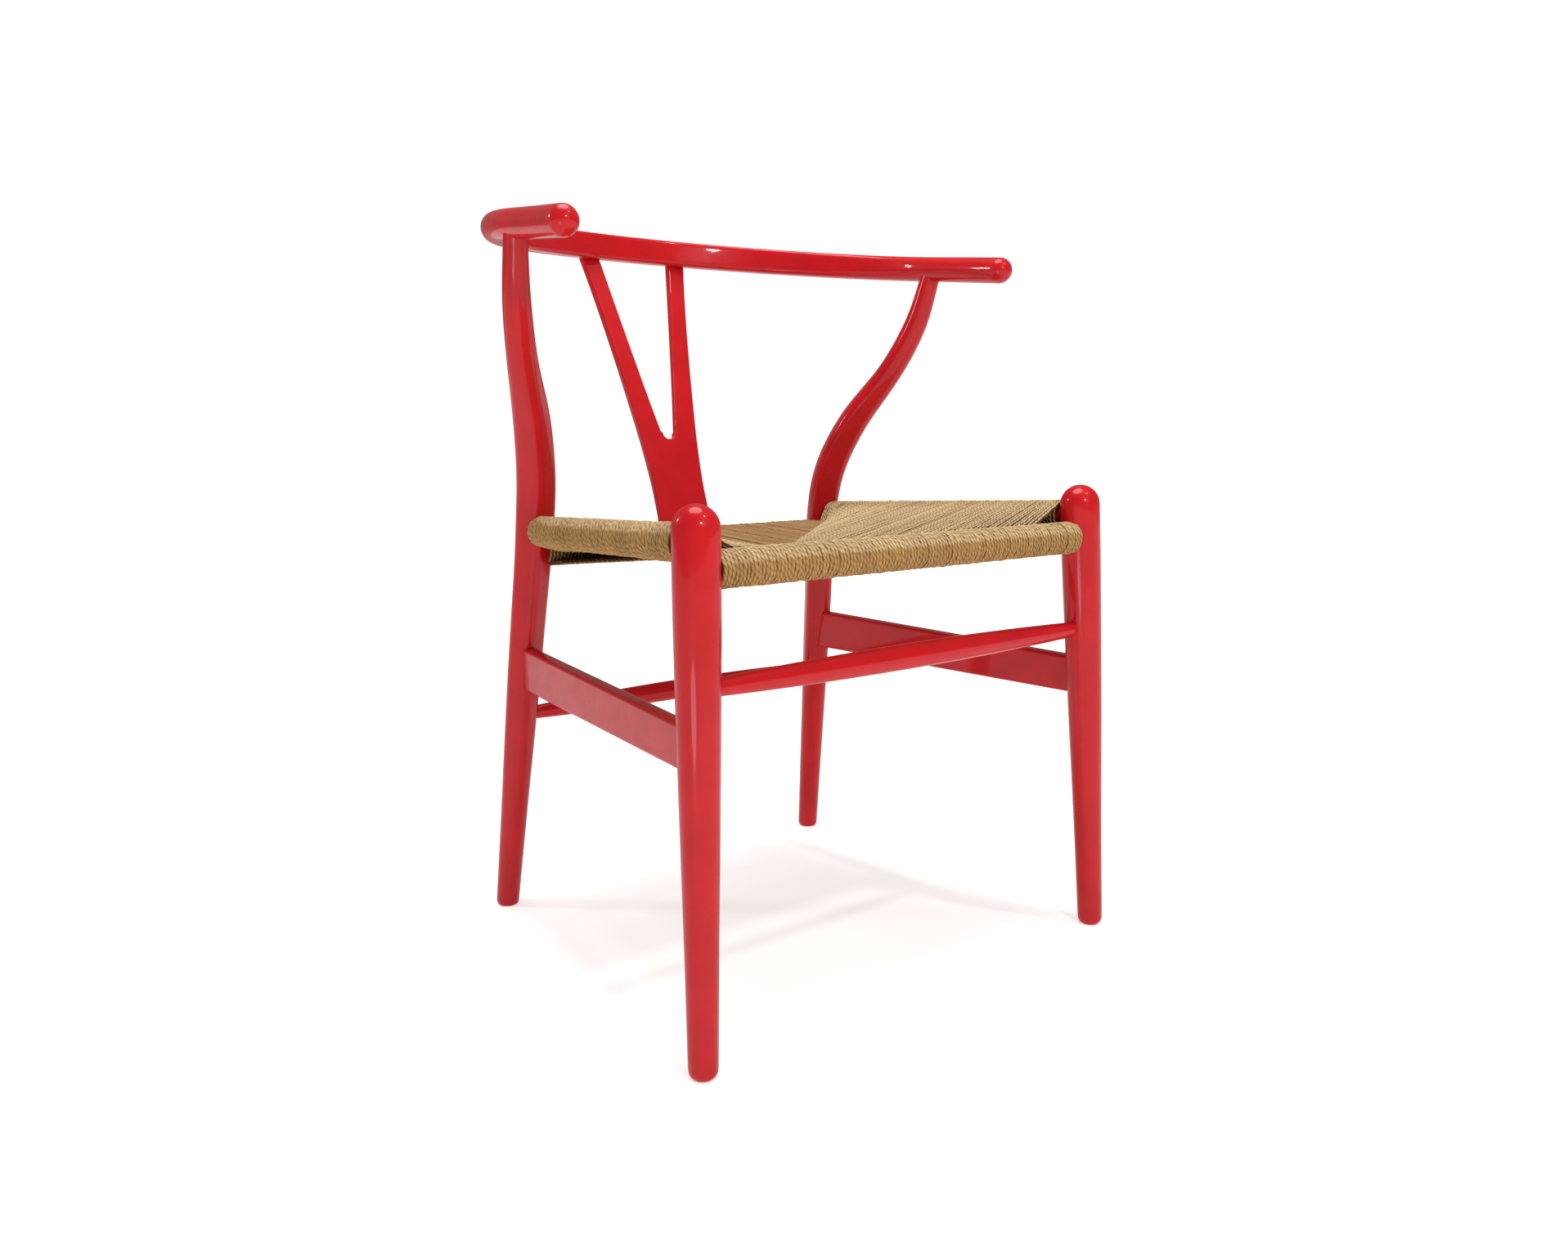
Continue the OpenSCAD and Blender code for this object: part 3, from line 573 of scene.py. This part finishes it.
class ARMCHAIR_OT_back_board(Operator):
    """Cut the flat forked board between the rear seat rail and the bent rail"""

    bl_idname = "armchair.back_board"
    bl_label = "Back Board"

    def execute(self, context):
        z, c = context.scene.armchair_sizes, chair()
        joint, back = c.rear_at(z.seat_rear_h), c.rail_at(0)
        foot = np.array([0, joint[1] + 4.5 * MM, z.seat_rear_h + z.seat_rail_dia / 2])
        head = np.array([0, back[1] + 3.5 * MM, back[2] - 2 * MM])
        long = np.linalg.norm(head - foot)
        lean = unit(head - foot)
        edge_rows = [[0, 0.03], [25, 0], [55, 0], [90, 0.06], [120, 0.14], [150, 0.24], [195, 0.40],
                     [240, 0.58], [285, 0.78], [328, 1], [352, 1.14]]
        waist, tip, crotch = z.splat_base_w / 2 - 1.2 * MM, z.splat_top_w / 2, 8 * MM
        stretch = (long - 4 * MM) / (338 * MM)
        low, high = -9 * MM, long - 1 * MM
        fork_foot, fork_open = z.crotch_h - foot[2], tip - z.splat_arm_w
        s = np.linspace(low, high, 60)
        outer = np.stack([mix(waist, tip, curve_through(edge_rows, s / stretch / MM)), s], -1)
        s = np.linspace(high, fork_foot + crotch + 2 * MM, 36)
        climb = np.clip((s - fork_foot) / (long - 12 * MM - fork_foot), 0, 2)
        opening = mix(crotch, fork_open, climb**0.93)
        inner = np.stack([opening, s], -1)
        turn = np.radians(np.linspace(0, 180, 21))
        hollow = np.stack([crotch * np.cos(turn), fork_foot + crotch - crotch * np.sin(turn)], -1)
        flip = np.array([-1, 1])
        outline = np.concatenate([outer, inner, hollow, (inner * flip)[::-1], (outer * flip)[::-1]])
        forward = np.cross(SIDEWAYS, lean)

        def place(p):
            return foot + p[:, :1] * SIDEWAYS + p[:, 1:2] * lean + p[:, 2:] * forward

        board = flat_board("back_board", outline, z.splat_t, 1.6 * MM, place)
        dress(board, lacquered_wood(), "red_lacquer", "back_splat")
        return {"FINISHED"}


class ARMCHAIR_OT_side_boards(Operator):
    """Cut the two flat side stretchers between front and rear legs"""

    bl_idname = "armchair.side_boards"
    bl_label = "Side Boards"

    def execute(self, context):
        z, c = context.scene.armchair_sizes, chair()
        p, q = c.front_at(z.board_front_h), c.rear_at(z.board_rear_h)
        run = np.array([q[0] - p[0], q[1] - p[1], 0])
        long = np.linalg.norm(run)
        run, side = run / long, np.array([run[1], -run[0], 0]) / long
        s = np.linspace(9 * MM, long - 8 * MM, 40)
        middle = mix(z.board_front_h, z.board_rear_h, s / long)
        half = mix(z.board_front_w, z.board_rear_w, s / long) / 2
        outline = np.concatenate([np.stack([s, middle - half], -1), np.stack([s, middle + half], -1)[::-1]])

        def place(v):
            return np.array([p[0], p[1], 0]) + v[:, :1] * run + v[:, 1:2] * UPWARDS + v[:, 2:] * side

        left = flat_board("side_board_left", outline, z.board_t, 3 * MM, place)
        right = mirrored(left, "side_board_right")
        dress(left, lacquered_wood(), "red_lacquer", "side_stretcher_left")
        dress(right, lacquered_wood(), "red_lacquer", "side_stretcher_right")
        return {"FINISHED"}


class ARMCHAIR_OT_stretchers(Operator):
    """Shape the leaf-like front and rear stretchers, full at the middle and slim at the legs"""

    bl_idname = "armchair.stretchers"
    bl_label = "Stretchers"

    def execute(self, context):
        z, c = context.scene.armchair_sizes, chair()
        for name, joint in (
            ("front_stretcher", c.front_at(z.front_stretcher_h)),
            ("rear_stretcher", c.rear_at(z.rear_stretcher_h)),
        ):
            t = np.linspace(0, 1, 90)
            inset = z.front_leg_dia / 2 if name == "front_stretcher" else z.rear_leg_size / 2
            clear = np.clip((2 * joint[0] * t - inset) / (2 * joint[0] - 2 * inset), 0, 1)
            full = (np.sin(np.pi * clear) ** 0.8)[:, None]
            turn = np.linspace(0, 2 * np.pi, 56, endpoint=False)
            cos, sin = np.cos(turn), np.sin(turn)
            tall = mix(z.leaf_tenon_dia / 2 + 0.6 * MM, z.leaf_h / 2, full)
            wide = mix(z.leaf_tenon_dia / 2 + 0.4 * MM, z.leaf_t / 2, full)
            across = wide * cos
            rise = tall * np.sign(sin) * np.abs(sin) ** mix(1, 1.25, full)
            middle = along_line([-joint[0], joint[1], joint[2]], joint, t)
            zero = np.zeros_like(across)
            bar = closed_grid(name, middle[:, None] + np.stack([zero, across, rise], -1))
            dress(bar, lacquered_wood(), "red_lacquer", name)
        return {"FINISHED"}


class ARMCHAIR_OT_seat_rails(Operator):
    """Turn the four round seat rails that the cord is wrapped on"""

    bl_idname = "armchair.seat_rails"
    bl_label = "Seat Rails"

    def execute(self, context):
        z, c = context.scene.armchair_sizes, chair()
        front, rear = c.front_at(z.seat_front_h), c.rear_at(z.seat_rear_h)
        side = (c.front_at(z.seat_side_front_h), c.rear_at(z.seat_side_rear_h))
        flip = np.array([-1, 1, 1])
        for name, p, q in (
            ("seat_rail_front", front * flip, front),
            ("seat_rail_rear", rear * flip, rear),
            ("seat_rail_left", side[0], side[1]),
            ("seat_rail_right", side[0] * flip, side[1] * flip),
        ):
            long = np.linalg.norm(q - p)
            thin, full, step = z.seat_tenon_dia / 2, z.seat_rail_dia / 2, z.front_leg_dia / 2
            s = np.array([-9, -8, 0, 0, 5, 10, 20]) * MM + np.array([0, 0, 0, step, step, step, step])
            r = np.array([thin - MM, thin, thin, thin, mix(thin, full, 0.5), full, full])
            bar = turned(name, p, q, np.concatenate([s, long - s[::-1]]), np.concatenate([r, r[::-1]]), 40)
            dress(bar, lacquered_wood(), "red_lacquer", name)
        return {"FINISHED"}


# ---- woven seat ----

UNDER_POINTS, WRAP_POINTS, UPPER_POINTS = 12, 20, 20
# Where the weave has opened: each gap's place along its rail and its width.
FRONT_GAPS = [(90 * MM, 1.2 * MM)]
REAR_GAPS = [
    (-45 * MM, 3.5 * MM), (-10 * MM, 4 * MM), (30 * MM, 3 * MM), (55 * MM, 3 * MM), (100 * MM, 2 * MM),
    (-100 * MM, 2 * MM),
]
SIDE_GAPS = [(-120 * MM, 1.2 * MM), (-30 * MM, 3 * MM), (-14 * MM, 3.5 * MM), (30 * MM, 2 * MM)]


def cord_runs(centre, reach, top, under, radius, drop):
    """Runs of cord round a rail, as (strands, points, 2) of inward distance and height.

    Each run comes in under the seat, meets the rail's circle at a tangent, goes round the outside and
    leaves at the upper tangent for its place in the seam, where it turns down between its neighbours."""
    d, up, low = reach, top - centre, under - centre
    from_top = np.arctan2(up, d) + np.arccos(np.clip(radius / np.hypot(d, up), 0, 1))
    from_low = np.arctan2(low, d) - np.arccos(np.clip(radius / np.hypot(d, low), 0, 1))
    turn = mix(from_low[:, None], (from_top - 2 * np.pi)[:, None], np.linspace(0, 1, WRAP_POINTS))
    wrap = radius[:, None, None] * np.stack([np.cos(turn), np.sin(turn)], -1)
    s = np.linspace(0, 1, UNDER_POINTS + 1)[:-1, None]
    start, end = np.stack([d, low], -1)[:, None], np.stack([d, up], -1)[:, None]
    under_run = start + (wrap[:, :1] - start) * s
    s = np.linspace(0, 1, UPPER_POINTS + 1)[1:, None]
    upper_run = wrap[:, -1:] + (end - wrap[:, -1:]) * s
    lift = start + drop * np.array([0.5, 0.4])
    dive = end + drop * np.array([[0.5, -0.35], [0.45, -1.2]])
    path = np.concatenate([lift, under_run, wrap, upper_run, dive], 1)
    path[..., 1] += centre[:, None]
    return path


def cord_mesh(name, centres, across, radius, tone, painted_top_light, sides):
    """Tubes along many centre lines at once: circles square to each line, closed at both ends."""
    k, n = centres.shape[:2]
    run = unit(np.gradient(centres, axis=1))
    a = unit(across - run * np.einsum("kni,i->kn", run, across)[..., None])
    b = np.cross(run, a)
    turn = np.linspace(0, 2 * np.pi, sides, endpoint=False)
    circle = np.cos(turn)[:, None] * a[:, :, None] + np.sin(turn)[:, None] * b[:, :, None]
    points = centres[:, :, None] + radius[..., None, None] * circle
    base = (np.arange(k) * n * sides)[:, None, None]
    i, j = np.meshgrid(np.arange(n - 1), np.arange(sides), indexing="ij")
    nxt = (j + 1) % sides
    here, ahead = base + i * sides, base + (i + 1) * sides
    quads = np.stack([here + j, ahead + j, ahead + nxt, here + nxt], -1)
    steps = np.linalg.norm(np.diff(centres, axis=1), axis=-1)
    gone = np.concatenate([np.zeros((k, 1)), np.cumsum(steps, 1)], 1)
    gone = gone + (tone * 7.31)[:, None]
    u0, u1 = gone[:, :-1, None], gone[:, 1:, None]
    full = np.ones((k, n - 1, sides))
    u0, u1, v0, v1 = u0 * full, u1 * full, j / sides * full, (j + 1) / sides * full
    uv = np.stack([u0, v0, u1, v0, u1, v1, u0, v1], -1)
    ends = [list(range(s * n * sides, s * n * sides + sides)) for s in range(k)]
    ends += [list(range((s + 1) * n * sides - sides, (s + 1) * n * sides))[::-1] for s in range(k)]
    piece = mesh_object(name, points, quads, ends, uv)
    painted_top_light = np.broadcast_to(painted_top_light, (k, n)).ravel()
    # The run's tone, random and carrying painted shade, sets how dark the cord is drawn.
    shade = piece.data.attributes.new("tone_and_painted_shade", "FLOAT", "POINT")
    shade.data.foreach_set("value", np.repeat(0.8 + 0.2 * tone, n * sides))
    # Painted light: each point's share of the paler colour of the lit upper face.
    painted_light_share = piece.data.attributes.new("painted_top_light", "FLOAT", "POINT")
    painted_light_share.data.foreach_set("value", np.repeat(painted_top_light, sides))
    return piece


def loosen(line, share, gaps, reach):
    """Sideways shift where the weave has opened: runs on each side of a gap lean away from it."""
    shift = np.zeros(share.shape)
    for place, wide in gaps:
        away = line - place
        lean = np.sign(away) * wide / 2 * np.exp(-np.abs(away) / reach)
        shift += lean[:, None] * np.sin(np.pi * share) ** 0.8
    return shift


def ripple(rng, count, gone, wave):
    """A wavering of unit size along each run: two sines whose phases drift slowly from run to run."""
    first = np.cumsum(rng.normal(0, 0.9, count))[:, None]
    second = np.cumsum(rng.normal(0, 1.7, count))[:, None]
    turns = 2 * np.pi * gone / wave
    return 0.6 * np.sin(turns + first) + 0.4 * np.sin(turns / 0.58 + second)


class ARMCHAIR_OT_cord_seat(Operator):
    """Weave the seat: every run of cord goes round its rail and to the seam with the next panel"""

    bl_idname = "armchair.cord_seat"
    bl_label = "Cord Seat"

    def execute(self, context):
        z, c = context.scene.armchair_sizes, chair()
        sides = context.scene.armchair_looks.strand_sides
        front, rear = c.front_at(z.seat_front_h), c.rear_at(z.seat_rear_h)
        side_f, side_r = c.front_at(z.seat_side_front_h), c.rear_at(z.seat_side_rear_h)
        # Hammered tight, a run takes a little less room along its rail than the cord's own thickness.
        pitch, radius = 0.945 * z.cord_dia, z.cord_dia / 2
        # The wraps run up against the legs; the weave proper starts at the four corners of its diagonals.
        wrap_x, wrap_y = front[0] - 16 * MM, front[1] + 21 * MM
        rear_x, rear_y = rear[0] - 14 * MM, rear[1] - 25 * MM
        # The weave has pulled further from the left front leg than from the right one.
        corner_f = np.array([front[0] - 54 * MM, front[1] + 11 * MM])
        corner_near = np.array([front[0] - 43 * MM, front[1] + 14 * MM])
        corner_r = np.array([rear[0] - 19 * MM, rear[1] - 39 * MM])
        seam_y = front[1] + front[0] - z.seam_half
        wrap = z.seat_rail_dia / 2 + radius
        middle, least_reach = z.seat_middle_h - radius, 19 * MM
        rng = np.random.default_rng(11)
        cord = paper_cord()

        def strands(low, high):
            count = int(round((high - low) / pitch))
            return low + (np.arange(count) + 0.5) * (high - low) / count

        def weave(
            name, node, line, end_line, centre, reach, share, corner_h, under_drop, to_chair, across, gaps,
            painted_light_share,
        ):
            """One panel: line and end_line are each run's place at the rail and at the seam."""
            count = len(line)
            # Each run's tone is random, lowered as painted shade on panels with less painted light, most on
            # the rear panel, and lowered further beside each gap as painted shade.
            tone = rng.random(count) - 0.7 * (1 - painted_light_share)
            for place, _ in gaps:
                tone = tone - 0.8 * np.exp(-np.abs(line - place) / (0.6 * pitch))
            top = mix(corner_h, middle, share) + rng.normal(0, 0.25 * MM, count)
            under = mix(corner_h - under_drop, middle - 1.6 * z.cord_dia, share)
            size = wrap + rng.normal(0, 0.15 * MM, count)
            path = cord_runs(centre, reach, top, under, size, radius * 1.6)
            out = np.clip(path[..., 0] / reach[:, None], 0, 1)
            upper = np.arange(path.shape[1]) >= 1 + UNDER_POINTS + WRAP_POINTS
            gone = np.cumsum(np.linalg.norm(np.diff(path, axis=1, prepend=path[:, :1]), axis=-1), 1)
            where = line[:, None] + (end_line - line)[:, None] * out
            where = where + 0.42 * MM * ripple(rng, count, gone, 17 * MM)
            where = where + loosen(line, out * upper, gaps, 12 * MM)
            path[..., 1] += 0.22 * MM * ripple(rng, count, gone, 23 * MM)
            uneven = rng.standard_normal((count, 1)) + ripple(rng, count, gone, 11 * MM)
            thick = radius * (1.0 + 0.05 * uneven)
            # The under layer is pressed flat and wide by the cords above it.
            thick = thick * np.where(upper, 1.0, 1.18)
            # Painted light: from partway round the wrap on, runs take the paler colour of the lit upper face,
            # as far as the panel's share allows.
            in_light = np.arange(path.shape[1]) > UNDER_POINTS + WRAP_POINTS * 0.6
            painted_top_light = painted_light_share * smooth((out + 0.35) / 0.6) * in_light
            points = to_chair(where, path[..., 0], path[..., 1])
            panel = cord_mesh(name, points, across, thick, tone, painted_top_light, sides)
            dress(panel, cord, "paper_cord", node)

        def half_turns(name, node, low, high, centre, to_chair, across, painted_light_tone):
            """Loose turns that close a rail's inner side beside its leg, where the weave leaves it bare."""
            line = np.arange(low, high, 1.12 * pitch)
            turn = np.linspace(1.95, -1.95, 18) + 0 * line[:, None]
            size = wrap + 0.3 * MM * rng.standard_normal((len(line), 1))
            lean = (0.4 + 0.5 * rng.random((len(line), 1))) * pitch * turn / np.pi
            high_at = centre(line)[:, None] + size * np.sin(turn)
            points = to_chair(line[:, None] + lean, size * np.cos(turn), high_at)
            # Painted shade and light: besides a random tone, the turns are drawn darker at the front and
            # sides and lighter at the rear.
            tone = rng.random(len(line)) + painted_light_tone
            turns = cord_mesh(name, points, across, np.full(turn.shape, radius), tone, 0.0, sides)
            dress(turns, cord, "paper_cord", node)

        def at_front(a, d, h):
            return np.stack([a, front[1] + d, h], -1)

        def at_rear(a, d, h):
            return np.stack([a, rear[1] - d, h], -1)

        x = strands(-wrap_x, wrap_x)
        corner = np.where(x[:, None] > 0, corner_f, corner_near)
        share = np.clip((corner[:, 0] - np.abs(x)) / (corner[:, 0] - z.seam_half), 0, 1)
        reach = np.maximum(mix(corner[:, 1], seam_y, share) - front[1], least_reach)
        corner_h = z.seat_front_h + wrap - 1.5 * MM
        weave(
            "cord_front", "seat_cord_front", x, x, np.full_like(x, front[2]), reach, share,
            corner_h, 24 * MM, at_front, SIDEWAYS, FRONT_GAPS, 1.0,
        )
        # The last value in each row is painted shade (below zero) and painted light (above zero) for those
        # turns.
        for rail, side, low, high, level, to_chair, painted_light_tone in (
            ("front", "left", front[0] - 52 * MM, wrap_x, front[2], at_front, -0.7),
            ("front", "right", -wrap_x, 42 * MM - front[0], front[2], at_front, -0.7),
            ("rear", "left", rear[0] - 80 * MM, rear_x, rear[2], at_rear, 0.6),
            ("rear", "right", -rear_x, 80 * MM - rear[0], rear[2], at_rear, 0.6),
        ):
            half_turns(
                "cord_" + rail + "_turns_" + side, "seat_cord_" + rail, low, high,
                lambda a, level=level: np.full_like(a, level), to_chair, SIDEWAYS, painted_light_tone,
            )
        x = strands(-rear_x, rear_x)
        share = np.clip((corner_r[0] - np.abs(x)) / (corner_r[0] - z.seam_half), 0, 1)
        reach = rear[1] - mix(corner_r[1], seam_y, share)
        corner_h = z.seat_rear_h + wrap - MM
        weave(
            "cord_rear", "seat_cord_rear", x, x, np.full_like(x, rear[2]), reach, share,
            corner_h, 24 * MM, at_rear, SIDEWAYS, REAR_GAPS, 0.1,
        )
        for side, flip, ahead_corner in (("left", 1.0, corner_f), ("right", -1.0, corner_near)):
            y = strands(wrap_y, rear_y)
            ahead = y < seam_y
            behind = np.clip((corner_r[1] - y) / (corner_r[1] - seam_y), 0, 1)
            share = np.where(ahead, (y - wrap_y) / (seam_y - wrap_y), behind)
            inner = mix(np.where(ahead, ahead_corner[0], corner_r[0]), z.seam_half, share)
            end_y = np.where(ahead, mix(ahead_corner[1], seam_y, share), y)
            run = (y - side_f[1]) / (side_r[1] - side_f[1])
            axis_x, axis_h = mix(side_f[0], side_r[0], run), mix(side_f[2], side_r[2], run)
            corner_h = np.where(ahead, z.seat_front_h, z.seat_rear_h) + wrap + 1.2 * MM

            def to_chair(a, d, h, axis_x=axis_x, flip=flip):
                return np.stack([flip * (axis_x[:, None] - d), a, h], -1)

            def beside_leg(a, d, h, flip=flip):
                axis = mix(side_f[0], side_r[0], (a - side_f[1]) / (side_r[1] - side_f[1]))
                return np.stack([flip * (axis - d), a, h], -1)

            half_turns(
                "cord_side_turns_" + side, "seat_cord_" + side, wrap_y, wrap_y + 16 * MM,
                lambda a: np.full_like(a, side_f[2]), beside_leg, BACKWARDS, -0.3,
            )
            reach = np.maximum(axis_x - inner, least_reach)
            weave(
                "cord_" + side, "seat_cord_" + side, y, end_y, axis_h, reach, share,
                corner_h, 13 * MM, to_chair, BACKWARDS, SIDE_GAPS, 0.85,
            )
        return {"FINISHED"}


# ---- studio ----


class ARMCHAIR_OT_stage(Operator):
    """Set the floor, the soft lights and the camera"""

    bl_idname = "armchair.stage"
    bl_label = "Stage"

    def execute(self, context):
        scene = context.scene
        scene.view_settings.view_transform = "Standard"
        mesh = bpy.data.meshes.new("floor")
        wide = 12.0
        corners = [(-wide, -wide, 0), (wide, -wide, 0), (wide, wide, 0), (-wide, wide, 0)]
        mesh.from_pydata(corners, [], [(0, 1, 2, 3)])
        mesh.materials.append(studio_floor())
        floor = bpy.data.objects.new("floor", mesh)
        context.collection.objects.link(floor)
        world = bpy.data.worlds.new("studio")
        world.use_nodes = True
        tree = world.node_tree
        tree.nodes.clear()
        seen = add(tree, "ShaderNodeLightPath")
        dim = add(tree, "ShaderNodeBackground", {"Color": (1, 1, 1, 1), "Strength": 0.22})
        white = add(tree, "ShaderNodeBackground", {"Color": (1, 1, 1, 1), "Strength": 1.0})
        backdrops = {0: (seen, "Is Camera Ray"), 1: (dim, 0), 2: (white, 0)}
        sky = add(tree, "ShaderNodeMixShader", links=backdrops)
        add(tree, "ShaderNodeOutputWorld", links={"Surface": (sky, 0)})
        scene.world = world
        target = Vector((0, 0, 0.42))
        for name, place, size, watts in (
            ("overhead", (-0.05, 0.0, 2.6), (1.6, 1.6), 41.0),
            ("right", (0.67, -1.5, 2.5), (0.16, 0.14), 13.0),
            ("left", (-1.35, 1.1, 1.3), (0.16, 0.4), 5.0),
            ("front", (-0.38, -2.13, 1.42), (0.3, 0.28), 15.5),
            ("front_soft", (0.0, -2.1, 1.1), (0.7, 0.8), 1.0),
            ("low", (-1.2, -0.9, 0.1), (0.5, 0.2), 1.2),
        ):
            lamp = bpy.data.lights.new(name, "AREA")
            lamp.shape, lamp.energy = "ELLIPSE", watts
            lamp.size, lamp.size_y = size
            holder = bpy.data.objects.new(name, lamp)
            holder.location = place
            holder.rotation_euler = (target - Vector(place)).to_track_quat("-Z", "Y").to_euler()
            context.collection.objects.link(holder)
        data = bpy.data.cameras.new("camera")
        data.sensor_width, data.lens = 36.0, 25.86
        data.clip_start, data.clip_end = 0.01, 100.0
        camera = bpy.data.objects.new("camera", data)
        eye, look_at = Vector((-0.7014, -0.99655, 0.5007)), Vector((0.0051, -0.03425, 0.3259))
        roll = -0.0262
        ahead = (look_at - eye).normalized()
        right = ahead.cross(Vector((0, 0, 1))).normalized()
        up = right.cross(ahead)
        cos, sin = math.cos(roll), math.sin(roll)
        right, up = right * cos + up * sin, up * cos - right * sin
        turn = Matrix((right, up, -ahead)).transposed().to_4x4()
        camera.matrix_world = Matrix.Translation(eye) @ turn
        context.collection.objects.link(camera)
        scene.camera = camera
        return {"FINISHED"}


class ARMCHAIR_PT_sidebar(Panel):
    """Lists the chair's pieces in the order they are made"""

    bl_idname = "ARMCHAIR_PT_sidebar"
    bl_label = "Armchair"
    bl_space_type = "VIEW_3D"
    bl_region_type = "UI"
    bl_category = "Armchair"

    def draw(self, context):
        for step in STEPS:
            self.layout.operator(step.bl_idname)


STEPS = (
    ARMCHAIR_OT_stage,
    ARMCHAIR_OT_front_legs,
    ARMCHAIR_OT_rear_legs,
    ARMCHAIR_OT_bent_rail,
    ARMCHAIR_OT_back_board,
    ARMCHAIR_OT_side_boards,
    ARMCHAIR_OT_stretchers,
    ARMCHAIR_OT_seat_rails,
    ARMCHAIR_OT_cord_seat,
)
CLASSES = (ArmchairSizes, ArmchairLooks, *STEPS, ARMCHAIR_PT_sidebar)


def register():
    """Makes the sizes, the colours, the operators and the panel known to Blender."""
    for kind in CLASSES:
        bpy.utils.register_class(kind)
    bpy.types.Scene.armchair_sizes = PointerProperty(type=ArmchairSizes)
    bpy.types.Scene.armchair_looks = PointerProperty(type=ArmchairLooks)


def unregister():
    """Takes them away again."""
    del bpy.types.Scene.armchair_looks
    del bpy.types.Scene.armchair_sizes
    for kind in reversed(CLASSES):
        bpy.utils.unregister_class(kind)


def main():
    """Builds the whole chair."""
    register()
    for step in STEPS:
        group, name = step.bl_idname.split(".")
        getattr(getattr(bpy.ops, group), name)()


if __name__ == "__main__":
    main()
